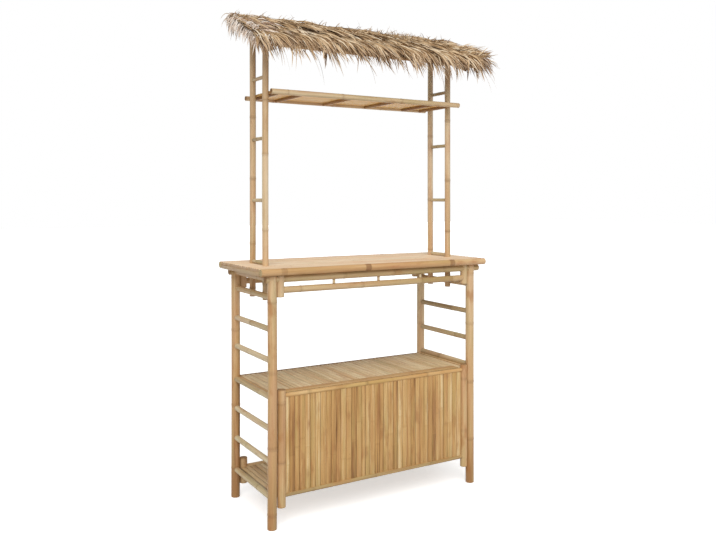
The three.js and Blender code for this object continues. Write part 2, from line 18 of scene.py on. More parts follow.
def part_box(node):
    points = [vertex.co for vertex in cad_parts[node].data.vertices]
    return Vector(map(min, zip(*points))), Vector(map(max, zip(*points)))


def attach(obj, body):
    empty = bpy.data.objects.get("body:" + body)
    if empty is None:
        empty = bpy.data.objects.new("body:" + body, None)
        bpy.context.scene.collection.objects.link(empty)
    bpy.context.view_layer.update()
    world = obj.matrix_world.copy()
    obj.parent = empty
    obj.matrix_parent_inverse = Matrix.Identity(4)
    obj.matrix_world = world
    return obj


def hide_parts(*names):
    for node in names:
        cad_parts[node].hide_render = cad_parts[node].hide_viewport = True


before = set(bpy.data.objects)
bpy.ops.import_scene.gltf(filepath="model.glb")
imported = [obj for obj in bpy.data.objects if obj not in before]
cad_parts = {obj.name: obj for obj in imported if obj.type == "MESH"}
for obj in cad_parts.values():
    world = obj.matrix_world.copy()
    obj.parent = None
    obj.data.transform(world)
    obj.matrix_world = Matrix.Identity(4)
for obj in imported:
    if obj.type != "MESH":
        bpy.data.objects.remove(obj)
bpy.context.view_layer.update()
LOG = logging.getLogger("tiki_bar_hut")

MM = 0.001
X = Vector((1, 0, 0))
Y = Vector((0, 1, 0))
Z = Vector((0, 0, 1))
SIDES = {"left": -1, "right": 1}
ROWS = {"front": -1, "rear": 1}
CLEARANCE = 0.1 * MM
SEAT_DEPTH = 0.5 * MM
MERGE_DISTANCE = 1e-6
SHARP_ANGLE = math.radians(38)
GRAIN_SHIFT = 20.0

Number = Union[float, "Signal"]
Triple = tuple[float, float, float]
Span = tuple[float, float]
Stops = Sequence[tuple[float, str]]


def hex_colour(code: str) -> tuple[float, float, float, float]:
    """Turn a hex colour into the linear values that a shader takes.

    Args:
        code: Six hex digits, as seen on a screen.

    Returns:
        Red, green, blue and an alpha of one.
    """
    shares = [int(code[i:i + 2], 16) / 255 for i in (0, 2, 4)]
    linear = [c / 12.92 if c <= 0.04045 else ((c + 0.055) / 1.055) ** 2.4 for c in shares]
    return (*linear, 1.0)


class Signal:
    """A number in a material's node tree, which adds a Math node for each operator."""

    def __init__(self, graph: "Graph", socket: bpy.types.NodeSocket) -> None:
        """Wrap a socket of a graph."""
        self.graph = graph
        self.socket = socket

    def _math(self, operation: str, first: Number, second: Number = 0.0, clamp: bool = False) -> "Signal":
        """Add one Math node.

        Args:
            operation: The node's operation.
            first: Its first value or signal.
            second: Its second value or signal.
            clamp: Whether the result is kept from 0 to 1.

        Returns:
            The node's result.
        """
        node = self.graph.node(
            "ShaderNodeMath", {"operation": operation, "use_clamp": clamp}, {0: first, 1: second}
        )
        return Signal(self.graph, node.outputs[0])

    def __add__(self, other: Number) -> "Signal":
        """Add a value."""
        return self._math("ADD", self, other)

    def __radd__(self, other: Number) -> "Signal":
        """Add to a value."""
        return self._math("ADD", other, self)

    def __sub__(self, other: Number) -> "Signal":
        """Take a value away."""
        return self._math("SUBTRACT", self, other)

    def __rsub__(self, other: Number) -> "Signal":
        """Take this away from a value."""
        return self._math("SUBTRACT", other, self)

    def __mul__(self, other: Number) -> "Signal":
        """Multiply by a value."""
        return self._math("MULTIPLY", self, other)

    def __rmul__(self, other: Number) -> "Signal":
        """Multiply a value."""
        return self._math("MULTIPLY", other, self)

    def clamped(self) -> "Signal":
        """Keep the value from 0 to 1."""
        return self._math("ADD", self, 0.0, clamp=True)

    def step(self, low: float, high: float) -> "Signal":
        """Rise smoothly from 0 to 1.

        Args:
            low: Where the rise starts.
            high: Where it ends.

        Returns:
            The eased share.
        """
        node = self.graph.node(
            "ShaderNodeMapRange",
            {"interpolation_type": "SMOOTHSTEP"},
            {0: self, 1: low, 2: high, 3: 0.0, 4: 1.0},
        )
        return Signal(self.graph, node.outputs[0])


class Graph:
    """One material's node tree."""

    def __init__(self, name: str) -> None:
        """Make a material with only an output and a Principled shader.

        Args:
            name: The material's name.
        """
        self.material = bpy.data.materials.new(name)
        self.material.use_nodes = True
        self.tree = self.material.node_tree
        self.tree.nodes.clear()
        self.shader = self.node("ShaderNodeBsdfPrincipled", {}, {})
        self.output = self.node("ShaderNodeOutputMaterial", {}, {"Surface": self.shader.outputs[0]})

    def node(self, kind: str, settings: dict, inputs: dict) -> bpy.types.Node:
        """Add a node, set it up and feed it.

        Args:
            kind: The node's type name.
            settings: Its properties; "stops" holds a ramp's places and colours.
            inputs: A value, socket or signal for each socket, by name or number.

        Returns:
            The new node.
        """
        made = self.tree.nodes.new(kind)
        for key, value in settings.items():
            if key == "stops":
                self._set_stops(made.color_ramp, value)
            else:
                setattr(made, key, value)
        self._supply(made, inputs)
        return made

    def _supply(self, node: bpy.types.Node, inputs: dict) -> None:
        """Give a node's sockets their values and links.

        Args:
            node: The node.
            inputs: A value, socket or signal for each socket, by name or number.
        """
        for key, value in inputs.items():
            source = value.socket if isinstance(value, Signal) else value
            if isinstance(source, bpy.types.NodeSocket):
                self.tree.links.new(source, node.inputs[key])
            else:
                node.inputs[key].default_value = source

    @staticmethod
    def _set_stops(ramp: bpy.types.ColorRamp, stops: Stops) -> None:
        """Give a colour ramp its stops.

        Args:
            ramp: The ramp.
            stops: Places and hex colours, from low to high.
        """
        while len(ramp.elements) < len(stops):
            ramp.elements.new(1.0)
        for element, (place, code) in zip(ramp.elements, stops):
            element.position = place
            element.color = hex_colour(code)

    def attribute(self, name: str) -> tuple[bpy.types.NodeSocket, list[Signal]]:
        """Read a vector attribute of the mesh.

        Args:
            name: The attribute's name.

        Returns:
            Its vector and its three numbers.
        """
        source = self.node("ShaderNodeAttribute", {"attribute_name": name}, {})
        parts = self.node("ShaderNodeSeparateXYZ", {}, {0: source.outputs["Vector"]})
        return source.outputs["Vector"], [Signal(self, output) for output in parts.outputs]

    def noise(self, vector: bpy.types.NodeSocket, scale: Triple, detail: float = 2.0) -> Signal:
        """Sample noise that is stretched differently each way.

        Args:
            vector: The place.
            scale: How many waves a metre along each axis.
            detail: The noise's detail.

        Returns:
            A number around one half.
        """
        placed = self.node("ShaderNodeVectorMath", {"operation": "MULTIPLY"}, {0: vector, 1: scale})
        made = self.node(
            "ShaderNodeTexNoise", {}, {"Vector": placed.outputs[0], "Scale": 1.0, "Detail": detail}
        )
        return Signal(self, made.outputs["Fac"])

    def ramp(self, value: Signal, stops: Stops) -> bpy.types.NodeSocket:
        """Turn a number into a colour.

        Args:
            value: The number.
            stops: Places and hex colours.

        Returns:
            The colour's socket.
        """
        return self.node("ShaderNodeValToRGB", {"stops": stops}, {0: value}).outputs[0]

    def mix(self, share: Signal, under: bpy.types.NodeSocket, over: str) -> bpy.types.NodeSocket:
        """Lay a colour over another.

        Args:
            share: How much of the upper colour shows.
            under: The lower colour.
            over: The upper colour, in hex.

        Returns:
            The mixed colour's socket.
        """
        made = self.node(
            "ShaderNodeMix",
            {"data_type": "RGBA", "blend_type": "MIX", "clamp_factor": True},
            {0: share, 6: under, 7: hex_colour(over)},
        )
        return made.outputs[2]

    def bump(self, height: Signal, strength: float, distance: float) -> bpy.types.NodeSocket:
        """Turn a height into a normal.

        Args:
            height: The height, from 0 to 1.
            strength: How strongly it shows.
            distance: The height of one, in metres.

        Returns:
            The normal's socket.
        """
        made = self.node(
            "ShaderNodeBump", {}, {"Height": height, "Strength": strength, "Distance": distance}
        )
        return made.outputs[0]

    def seen(self) -> Signal:
        """Say whether a ray comes from the camera, a reflection or a clear body."""
        path = self.node("ShaderNodeLightPath", {}, {})
        rays = [Signal(self, path.outputs[f"Is {kind} Ray"]) for kind in ("Camera", "Glossy", "Transmission")]
        return (rays[0] + rays[1] + rays[2]).clamped()

    def blend(self, share: Signal, over: bpy.types.NodeSocket) -> None:
        """Show another shader over the Principled one.

        Args:
            share: How much of it shows.
            over: The other shader's socket.
        """
        mix = self.node("ShaderNodeMixShader", {}, {0: share, 1: self.shader.outputs[0], 2: over})
        self.tree.links.new(mix.outputs[0], self.output.inputs["Surface"])

    def feed(self, inputs: dict) -> None:
        """Feed the shader's sockets.

        Args:
            inputs: A value, socket or signal for each socket, by name.
        """
        self._supply(self.shader, inputs)


@dataclass(frozen=True)
class Bamboo:
    """A varnished bamboo finish that follows each piece's grain."""

    name: str
    slot: str
    palette: Stops
    stain: str
    stain_share: float = 0.5
    knuckle: str = "7a4f2c"
    knuckle_share: float = 0.6
    cut: str = "a98256"
    roughness: float = 0.46
    streaks: float = 0.36
    fibres: float = 0.26
    warm: str = "c99972"
    cool: str = "b5a36f"
    drift: float = 0.42
    speck_share: float = 0.35
    pith: str = "6d5032"
    pith_share: float = 0.5
    gloss: float = 0.4
    bump_share: float = 0.35
    bump_height: float = 0.6 * MM
    fibre_scale: Triple = (420.0, 420.0, 9.0)
    streak_scale: Triple = (95.0, 95.0, 2.6)
    cloud_scale: Triple = (26.0, 26.0, 9.0)
    speck_scale: Triple = (700.0, 700.0, 130.0)
    hue_scale: Triple = (31.0, 31.0, 3.4)
    pith_scale: Triple = (900.0, 900.0, 200.0)

    def build(self) -> bpy.types.Material:
        """Make the material.

        Returns:
            The finished material.
        """
        graph = Graph(self.name)
        grain, _ = graph.attribute("grain")
        _, (tone, knuckle, cut) = graph.attribute("marks")
        fibre = graph.noise(grain, self.fibre_scale, 3.0)
        streak = graph.noise(grain, self.streak_scale)
        cloud = graph.noise(grain, self.cloud_scale, 3.0)
        speck = graph.noise(grain, self.speck_scale, 1.0)
        value = tone + (streak - 0.5) * (self.streaks * 2) + (fibre - 0.5) * (self.fibres * 2)
        colour = graph.ramp(value.clamped(), self.palette)
        hue = graph.noise(grain, self.hue_scale)
        colour = graph.mix(hue.step(0.5, 0.68) * self.drift, colour, self.warm)
        colour = graph.mix((1.0 - hue.step(0.32, 0.5)) * self.drift, colour, self.cool)
        colour = graph.mix(cloud.step(0.54, 0.72) * self.stain_share, colour, self.stain)
        colour = graph.mix(speck.step(0.66, 0.74) * self.speck_share, colour, self.knuckle)
        # The second mark darkens towards the knuckle colour: knuckles and knots, and on slats also the
        # painted shade along their sides
        ring = (knuckle * (0.65 + cloud * 0.7)).clamped() * self.knuckle_share
        colour = graph.mix(ring, colour, self.knuckle)
        pith = graph.noise(grain, self.pith_scale, 1.0)
        colour = graph.mix(cut, colour, self.cut)
        colour = graph.mix(cut * pith.step(0.45, 0.65) * self.pith_share, colour, self.pith)
        height = fibre * 0.5 + streak * 0.5 - knuckle * 0.35
        rough = (streak - 0.5) * 0.25 + self.roughness + cut * 0.3
        graph.feed({
            "Base Color": colour,
            "Roughness": rough.clamped(),
            "Normal": graph.bump(height, self.bump_share, self.bump_height),
            "Specular IOR Level": self.gloss,
        })
        return graph.material


@dataclass(frozen=True)
class Straw:
    """The dry grass of the thatch, darker at its roots."""

    name: str
    slot: str
    palette: Stops
    root: str
    root_share: float
    tip: str
    tip_share: float = 0.25
    roughness: float = 0.82
    gloss: float = 0.25
    bump_share: float = 0.4
    bump_height: float = 0.5 * MM
    fibre_scale: Triple = (900.0, 900.0, 12.0)
    cloud_scale: Triple = (60.0, 60.0, 16.0)

    def build(self) -> bpy.types.Material:
        """Make the material.

        Returns:
            The finished material.
        """
        graph = Graph(self.name)
        grain, _ = graph.attribute("grain")
        _, (tone, along, _) = graph.attribute("marks")
        fibre = graph.noise(grain, self.fibre_scale)
        cloud = graph.noise(grain, self.cloud_scale)
        colour = graph.ramp((tone + (cloud - 0.5) * 0.5 + (fibre - 0.5) * 0.3).clamped(), self.palette)
        near_root = (1.0 - along.step(0.0, 0.55)) * self.root_share
        colour = graph.mix(near_root, colour, self.root)
        colour = graph.mix(along.step(0.55, 1.0) * self.tip_share, colour, self.tip)
        graph.feed({
            "Base Color": colour,
            "Roughness": ((cloud - 0.5) * 0.2 + self.roughness).clamped(),
            "Normal": graph.bump(fibre, self.bump_share, self.bump_height),
            "Specular IOR Level": self.gloss,
        })
        return graph.material


class Finish(Enum):
    """The finishes of the hut."""

    LEG = Bamboo(
        "leg_varnish", "leg_bamboo",
        ((0.0, "9e7244"), (0.28, "c29866"), (0.5, "d4af7e"), (0.75, "dfc196"), (1.0, "ead3ac")),
        "aa6d35", 0.6,
    )
    RAIL = Bamboo(
        "rail_varnish", "rail_bamboo",
        ((0.0, "9a784c"), (0.28, "bc9b69"), (0.5, "cfaf80"), (0.75, "dcc196"), (1.0, "ead6b0")),
        "b5804a", 0.5,
    )
    TOP = Bamboo(
        "top_varnish", "top_bamboo",
        ((0.0, "d2a16c"), (0.3, "e9c090"), (0.55, "f4d1a7"), (0.8, "f9debb"), (1.0, "fbe7c9")),
        "d8a273", 0.45, "8a5430", 0.75, warm="dcab84", cool="cdb98b",
    )
    PANEL = Bamboo(
        "panel_varnish", "panel_bamboo",
        (
            (0.0, "80582f"), (0.2, "a67843"), (0.42, "c09358"), (0.64, "cda266"), (0.84, "d9b57c"),
            (1.0, "e6ca98"),
        ),
        "a26c3c", 0.5, "5f3d20", 0.75, streaks=0.6, fibres=0.6, warm="c08c5c", cool="b79f62", drift=0.4,
    )
    TOWER = Bamboo(
        "tower_varnish", "leg_bamboo",
        ((0.0, "a67c50"), (0.28, "c69f71"), (0.5, "d8b78d"), (0.75, "e4caa6"), (1.0, "eedcbc")),
        "b4815a", 0.4, "6f4c2e", 0.7, warm="d6ae88", cool="c4b082", drift=0.45,
    )
    EDGE = Bamboo(
        "edge_varnish", "top_bamboo",
        ((0.0, "a87442"), (0.28, "c28f5a"), (0.5, "d2a673"), (0.75, "dfbb8c"), (1.0, "ecd3aa")),
        "b5723f", 0.6, "8a5c34", 0.85, cut="c8b182", warm="cc9468", cool="bfa468", drift=0.45,
    )
    PALE = Bamboo(
        "pale_varnish", "rail_bamboo",
        ((0.0, "9a8058"), (0.28, "bfa67a"), (0.5, "d3bc92"), (0.75, "e0cdaa"), (1.0, "ecdec0")),
        "ab8456", 0.4, "6f522f", 0.7, warm="caa583", cool="b7ad82", drift=0.5,
    )
    SMOKED = Bamboo(
        "smoked_varnish", "rail_bamboo",
        ((0.0, "5a4330"), (0.3, "765a42"), (0.6, "8f7052"), (1.0, "b0906c")),
        "6b4a35", 0.5, "45301f", 0.6, warm="8d6650", cool="7d7354",
    )
    SHELF = Bamboo(
        "shelf_varnish", "shelf_bamboo",
        ((0.0, "a67f54"), (0.28, "c19a68"), (0.5, "d1ae7c"), (0.75, "dec294"), (1.0, "ead4ab")),
        "b48250", 0.4, "6b4a2e", 0.8, roughness=0.55, warm="cda274", cool="bda978", drift=0.45,
    )
    HONEY = Bamboo(
        "honey_varnish", "shelf_bamboo",
        ((0.0, "9c6c38"), (0.3, "be8f52"), (0.55, "cfa368"), (0.8, "dbb67d"), (1.0, "e8ca98")),
        "a86e34", 0.4, "6a4322", 0.7, warm="cf985a", cool="c4a55f",
    )
    # A brighter, more saturated copy of the honey finish for the upper shelf, whose underside lies in shade:
    # painted light
    AMBER = Bamboo(
        "honey_painted_light", "shelf_bamboo",
        ((0.0, "9c6430"), (0.3, "cc9144"), (0.55, "e4ad58"), (0.8, "f2c06c"), (1.0, "fad488")),
        "b8752e", 0.35, "6a4322", 0.7, warm="dc9c50", cool="d4b05c",
    )
    TRIM = replace(HONEY, name="trim_varnish", slot="rail_bamboo")
    SHELF_RAIL = replace(LEG, name="shelf_rail_varnish", slot="rail_bamboo")
    GRASS = Straw(
        "thatch_grass", "thatch",
        (
            (0.0, "4a341f"), (0.18, "7a5b3a"), (0.4, "ac8a62"), (0.6, "c9aa82"), (0.8, "dec49f"),
            (1.0, "eedcc0"),
        ),
        "533c26", 0.5, "e0c2a8", 0.4,
    )
    END_GRASS = Straw(
        "thatch_ends", "thatch",
        (
            (0.0, "6a5140"), (0.2, "ab8b73"), (0.42, "d6bba3"), (0.62, "e6d0bc"), (0.82, "f1e3d4"),
            (1.0, "f9f1e8"),
        ),
        "866750", 0.4, "eedfd0", 0.35,
    )
    # The core's near-black browns are painted shade, the shade deep between the strands
    UNDER_GRASS = Straw(
        "thatch_core_painted_shade", "thatch",
        ((0.0, "2c2114"), (0.4, "453521"), (0.75, "5d492f"), (1.0, "75603f")),
        "3a2c1b", 0.2, "54432c",
    )

    def material(self) -> bpy.types.Material:
        """Return the finish's material, made once."""
        return bpy.data.materials.get(self.value.name) or self.value.build()


class EndCut(Enum):
    """How an end of a culm is cut."""

    HOLLOW = "hollow"
    PLUG = "plug"
    COPE = "cope"


# A knuckle's profile: how far along it and how far out in millimetres, and how dark
KNUCKLE = (
    (-3.2, 0.2, 0.4), (-1.7, 0.6, 0.5), (-0.9, 0.08, 1.0), (0.3, 0.56, 0.7), (2.4, 0.42, 0.4),
)
# How much knuckles differ in the darkness of their band and of their lines
BAND_VARIES = (0.4, 1.5)
LINE_VARIES = (0.35, 1.1)
# Between its knuckles a culm's wall lies inside its radius, and wavers by so many millimetres
WALL_INSET = 0.6 * MM
WALL_WAVERS = 0.15
WALL_STEP = 0.07
PLAIN_STRETCH = 4 * MM
# A cut end's bevel, and a hollow one's depth and wall
BEVEL = 0.9 * MM
HOLLOW_DEPTH = 14 * MM
HOLLOW_WALL = 2.8 * MM
HOLLOW_WALL_SHARE = 0.24
OVALNESS = 0.012

# A slat's knot: how far along it in millimetres, its share of the height, its width and how dark
KNOT = ((-2, 0.5, 1.005, 0.5), (0, 1.0, 1.01, 1.0), (2, 0.3, 1.005, 0.4), (7, 0.0, 1.0, 0.0))
KNOT_REACH = 7 * MM
KNOT_HEIGHT = 0.7 * MM
# A slat's edges, the ends that dip and narrow a little, its longest stretch without a ring, and where the
# painted shade along its sides starts
SLAT_EDGE = 1.6 * MM
SLAT_TIP = 1.0 * MM
TIP_DIP = -0.5 * MM
TIP_WIDTH = 0.97
SLAT_STEP = 0.12
EDGE_FROM = 0.49
TONE_DRIFT = 0.08

# The range of tones that the finishes' ramps use
DARKEST = 0.02
PALEST = 0.98

# Knuckles and knots: their distance from an end, where the first lies and how much the pitch differs
LEAST_FROM_END = 0.025
FIRST_PITCH = (0.25, 0.8)
PITCH_VARIES = (0.85, 1.15)


@dataclass
class Culm:
    """A round culm that runs from one point to another."""

    start: Vector
    end: Vector
    radius: float
    knuckles: tuple[float, ...] = ()
    cuts: tuple[EndCut, EndCut] = (EndCut.PLUG, EndCut.PLUG)
    cope_radius: float = 0.0
    cope_offset: float = 0.0
    sides: int = 16
    bow: float = 0.8 * MM
    tone: float = 0.55
    spread: float = 0.16
    band: float = 7 * MM
    band_share: float = 0.22
    line_share: float = 0.7
    # Painted light and shade: the tone rises along the culm, darker at its start (an upright's foot) and
    # lighter at its end (its top)
    grade: float = 0.0
    swell: float = 1.0

    def length(self) -> float:
        """Return the length between the ends."""
        return (self.end - self.start).length

    def profile(self, draw: random.Random) -> list[tuple[float, float, float, float, float]]:
        """List the outline from the start's middle to the end's middle.

        Args:
            draw: The source of random numbers.

        Returns:
            Radius, place along, tone, knuckle share and cut share of each point.
        """
        length = self.length()
        slim = self.radius - WALL_INSET
        tone = self.tone + draw.uniform(-self.spread, self.spread)
        wall = []
        at = PLAIN_STRETCH
        margin = self.band + PLAIN_STRETCH
        for knuckle in [*sorted(self.knuckles), length + 1]:
            stop = min(knuckle - margin, length - PLAIN_STRETCH)
            steps = max(1, math.ceil((stop - at) / WALL_STEP))
            for i in range(steps + 1):
                place = at + (stop - at) * i / steps
                wall.append((slim + draw.uniform(-WALL_WAVERS, WALL_WAVERS) * MM, place, tone, 0.0, 0.0))
            if knuckle < length:
                band = self.band_share * draw.uniform(*BAND_VARIES)
                line = self.line_share * draw.uniform(*LINE_VARIES)
                after = self.tone + draw.uniform(-self.spread, self.spread)
                wall.append((slim, knuckle - self.band, tone, band, 0.0))
                for along, out, dark in KNUCKLE:
                    shade = max(band, dark * line)
                    outer = slim + out * MM * self.swell
                    wall.append((outer, knuckle + along * MM, tone if along < 0 else after, shade, 0.0))
                wall.append((slim, knuckle + self.band, after, band, 0.0))
                tone = after
                at = knuckle + margin
        first = [(r, z, wall[0][2], k, c) for r, z, k, c in self._end(self.cuts[0])]
        last = [(r, length - z, tone, k, c) for r, z, k, c in reversed(self._end(self.cuts[1]))]
        # The grade is painted light: each point's tone is raised towards the end and lowered towards the
        # start
        return [
            (out, along, shade + self.grade * (along / length - 0.5), knuckle, cut)
            for out, along, shade, knuckle, cut in (*first, *wall, *last)
        ]

    def _end(self, cut: EndCut) -> list[tuple[float, float, float, float]]:
        """List the points of one end, from the middle to the wall.

        Args:
            cut: How the end is cut.

        Returns:
            Radius, depth, knuckle share and cut share of each point.
        """
        slim = self.radius - WALL_INSET
        if cut is EndCut.COPE:
            return [(0.0, 0.0, 0.3, 1.0), (slim, 0.0, 0.5, 0.0)]
        rim = [(slim - BEVEL, 0.0, 0.0, 1.0), (slim, BEVEL, 0.3, 0.4)]
        if cut is EndCut.PLUG:
            return [(0.0, 0.0, 0.0, 1.0), *rim]
        inner = slim - max(HOLLOW_WALL_SHARE * slim, HOLLOW_WALL)
        return [
            (0.0, HOLLOW_DEPTH, 1.0, 1.0),
            (inner, HOLLOW_DEPTH, 1.0, 1.0),
            (inner, BEVEL, 0.7, 1.0),
            (inner + BEVEL / 2, 0.0, 0.0, 1.0),
            *rim,
        ]

    def cope_reach(self, across: float) -> float:
        """Say how far a coped end reaches on round the pole that it meets.

        Args:
            across: Where on the end, sideways to both poles.

        Returns:
            The reach past the end's middle.
        """
        side = across + self.cope_offset
        return self.cope_radius - math.sqrt(max(self.cope_radius ** 2 - side ** 2, 0.0))


@dataclass
class Slat:
    """A split strip of bamboo: flat below, crowned above, with the ridges of its nodes."""

    start: Vector
    end: Vector
    up: Vector
    width: float
    thickness: float
    tone: float
    knots: tuple[float, ...] = ()
    crown: float = 1.2 * MM
    bow: float = 0.0
    knot_share: float = 0.6
    # edge_shade is painted shade along the slat's sides, the dark lines of shade between slats
    edge_shade: float = 0.5

    def section(self) -> list[tuple[float, float]]:
        """Return the outline across the strip, with its crown at zero height."""
        half = self.width / 2
        edge = min(SLAT_EDGE, self.thickness / 4)
        low = -self.thickness
        side = -self.crown - edge
        return [
            (-half + edge / 2, low), (half - edge / 2, low), (half, low + edge), (half, side),
            (half - edge, -self.crown), (half * 0.5, -self.crown * 0.25), (0.0, 0.0),
            (-half * 0.5, -self.crown * 0.25), (-half + edge, -self.crown), (-half, side),
            (-half, low + edge),
        ]

    def stations(self) -> list[tuple[float, float, float, float]]:
        """Return the place, lift, width share and knot share of each ring along the strip."""
        length = (self.end - self.start).length
        rings = [(0.0, TIP_DIP, TIP_WIDTH, 0.0), (SLAT_TIP, 0.0, 1.0, 0.0)]
        at = SLAT_TIP
        for knot in [*sorted(self.knots), length + 1]:
            stop = min(knot - KNOT_REACH, length - SLAT_TIP)
            steps = max(1, math.ceil((stop - at) / SLAT_STEP))
            rings += [(at + (stop - at) * i / steps, 0.0, 1.0, 0.0) for i in range(1, steps + 1)]
            if knot < length:
                high = KNOT_HEIGHT * min(self.knot_share * 2, 1)
                rings += [(knot + place * MM, high * lift, wide, dark) for place, lift, wide, dark in KNOT]
                at = knot + KNOT_REACH
        rings.append((length, TIP_DIP, TIP_WIDTH, 0.0))
        return rings


class Piece:
    """One visible piece while it is made: a mesh with its grain and its marks."""

    def __init__(self, name: str, finish: Finish, nodes: Sequence[str], seed: int) -> None:
        """Start an empty piece.

        Args:
            name: The piece's name.
            finish: Its finish.
            nodes: The nodes of the frame that it stands for.
            seed: The seed of its random numbers.
        """
        self.name = name
        self.finish = finish
        self.nodes = nodes
        self.draw = random.Random(seed)
        self.mesh = bmesh.new()
        self.grain = self.mesh.verts.layers.float_vector.new("grain")
        self.marks = self.mesh.verts.layers.float_vector.new("marks")

    def _grain_shift(self) -> Vector:
        """Choose where in the grain's pattern a culm or slat lies."""
        return Vector([self.draw.uniform(0, GRAIN_SHIFT) for _ in range(3)])

    def add_culm(self, culm: Culm) -> "Piece":
        """Turn a culm on its axis, bow it a little and put it in its place.

        Args:
            culm: The culm.

        Returns:
            This piece.
        """
        before = len(self.mesh.verts)
        points = []
        for radius, along, tone, knuckle, cut in culm.profile(self.draw):
            point = self.mesh.verts.new((radius, 0, along))
            point[self.marks] = (tone, knuckle, cut)
            points.append(point)
        edges = [self.mesh.edges.new(pair) for pair in zip(points, points[1:])]
        bmesh.ops.spin(
            self.mesh, geom=points + edges, cent=(0, 0, 0), axis=(0, 0, 1),
            angle=math.tau, steps=culm.sides, use_merge=True,
        )
        self.mesh.verts.ensure_lookup_table()
        tips = [v for v in self.mesh.verts[before:] if v.co.xy.length < MERGE_DISTANCE]
        bmesh.ops.remove_doubles(self.mesh, verts=tips, dist=MERGE_DISTANCE)
        self.mesh.verts.ensure_lookup_table()
        length = culm.length()
        along = (culm.end - culm.start).normalized()
        side = X if abs(along.dot(X)) < 0.9 else Y
        turn = Matrix((side, along.cross(side), along)).transposed()
        bend = Vector((self.draw.uniform(-1, 1), self.draw.uniform(-1, 1), 0)) * culm.bow
        oval = self.draw.uniform(-OVALNESS, OVALNESS)
        shift = self._grain_shift()
        for vertex in self.mesh.verts[before:]:
            place = vertex.co.copy()
            vertex[self.grain] = place + shift
            share = min(max(place.z / length, 0), 1)
            at_start = place.z <= CLEARANCE
            if culm.cuts[0 if at_start else 1] is EndCut.COPE and (at_start or place.z >= length - CLEARANCE):
                reach = culm.cope_reach(place.x)
                place.z += -reach if at_start else reach
            place.x *= 1 + oval
            place.y *= 1 - oval
            vertex.co = culm.start + turn @ (place + bend * math.sin(math.pi * share))
        return self

    def add_slat(self, slat: Slat) -> "Piece":
        """Sweep a slat's section along it and put it in its place.

        Args:
            slat: The slat.

        Returns:
            This piece.
        """
        before = len(self.mesh.verts)
        rings = slat.stations()
        corners = [self.mesh.verts.new((u, v, 0)) for u, v in slat.section()]
        face = self.mesh.faces.new(corners)
        bmesh.ops.spin(
            self.mesh, geom=[*corners, *face.edges, face], cent=(0, 0, 0), axis=(0, 0, 1),
            dvec=(0, 0, 1), angle=0.0, steps=len(rings) - 1,
        )
        self.mesh.verts.ensure_lookup_table()
        along = (slat.end - slat.start).normalized()
        turn = Matrix((slat.up.cross(along), slat.up, along)).transposed()
        length = (slat.end - slat.start).length
        shift = self._grain_shift()
        tones = [slat.tone + self.draw.uniform(-TONE_DRIFT, TONE_DRIFT) for _ in rings]
        for vertex in self.mesh.verts[before:]:
            place = vertex.co.copy()
            number = round(place.z)
            along_it, lift, width, knot = rings[number]
            at_end = number in (0, len(rings) - 1)
            upper = 1.0 if place.y > -slat.thickness / 2 else 0.0
            # Painted shade: the corners along a slat's sides take edge_shade, for the shade in the gaps
            # between slats; knots darken only the top
            at_edge = abs(place.x) > slat.width * EDGE_FROM
            shade = slat.edge_shade if at_edge else knot * upper * slat.knot_share
            place = Vector((place.x * width, place.y + lift * upper, along_it))
            vertex[self.grain] = place + shift
            vertex[self.marks] = (tones[number], shade, 0.5 * at_end)
            place.x += slat.bow * math.sin(math.pi * along_it / length)
            vertex.co = slat.start + turn @ place
        return self

    def done(self) -> bpy.types.Object:
        """Turn the mesh into an object with its finish, and tie it to the frame.

        Returns:
            The finished object.
        """
        bmesh.ops.recalc_face_normals(self.mesh, faces=self.mesh.faces[:])
        mesh = bpy.data.meshes.new(self.name)
        self.mesh.to_mesh(mesh)
        self.mesh.free()
        return settle(mesh, self.name, self.finish, self.nodes)


def settle(mesh: bpy.types.Mesh, name: str, finish: Finish, nodes: Sequence[str]) -> bpy.types.Object:
    """Make an object of a mesh, smooth it, dress it and tie it to the frame.

    Args:
        mesh: The mesh, in place.
        name: The piece's name.
        finish: Its finish.
        nodes: The nodes of the frame that it stands for.

    Returns:
        The object.
    """
    mesh.polygons.foreach_set("use_smooth", [True] * len(mesh.polygons))
    mesh.set_sharp_from_angle(angle=SHARP_ANGLE)
    mesh.materials.append(finish.material())
    made = bpy.data.objects.new(name, mesh)
    bpy.context.scene.collection.objects.link(made)
    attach(made, "root")
    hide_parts(*nodes)
    LOG.info("%s: %d faces, for %s", name, len(mesh.polygons), ", ".join(nodes))
    return made


def middle(node: str) -> Vector:
    """Return the middle of a node's box."""
    low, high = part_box(node)
    return (low + high) / 2


def inner_axis(node: str, sign: int, radius: float) -> float:
    """Place an upright culm against the face of a node's box that is nearer to the middle.

    Args:
        node: The node.
        sign: The side's sign along X.
        radius: The culm's radius.

    Returns:
        The X place of its axis.
    """
    low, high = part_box(node)
    return low.x + radius if sign > 0 else high.x - radius


def knuckle_places(length: float, pitch: float, draw: random.Random) -> tuple[float, ...]:
    """Choose where a culm's knuckles lie.

    Args:
        length: The culm's length.
        pitch: The usual distance between knuckles.
        draw: The source of random numbers.

    Returns:
        Their places from the start.
    """
    places = []
    at = pitch * draw.uniform(*FIRST_PITCH)
    while at < length - LEAST_FROM_END:
        if at > LEAST_FROM_END:
            places.append(at)
        at += pitch * draw.uniform(*PITCH_VARIES)
    return tuple(places)


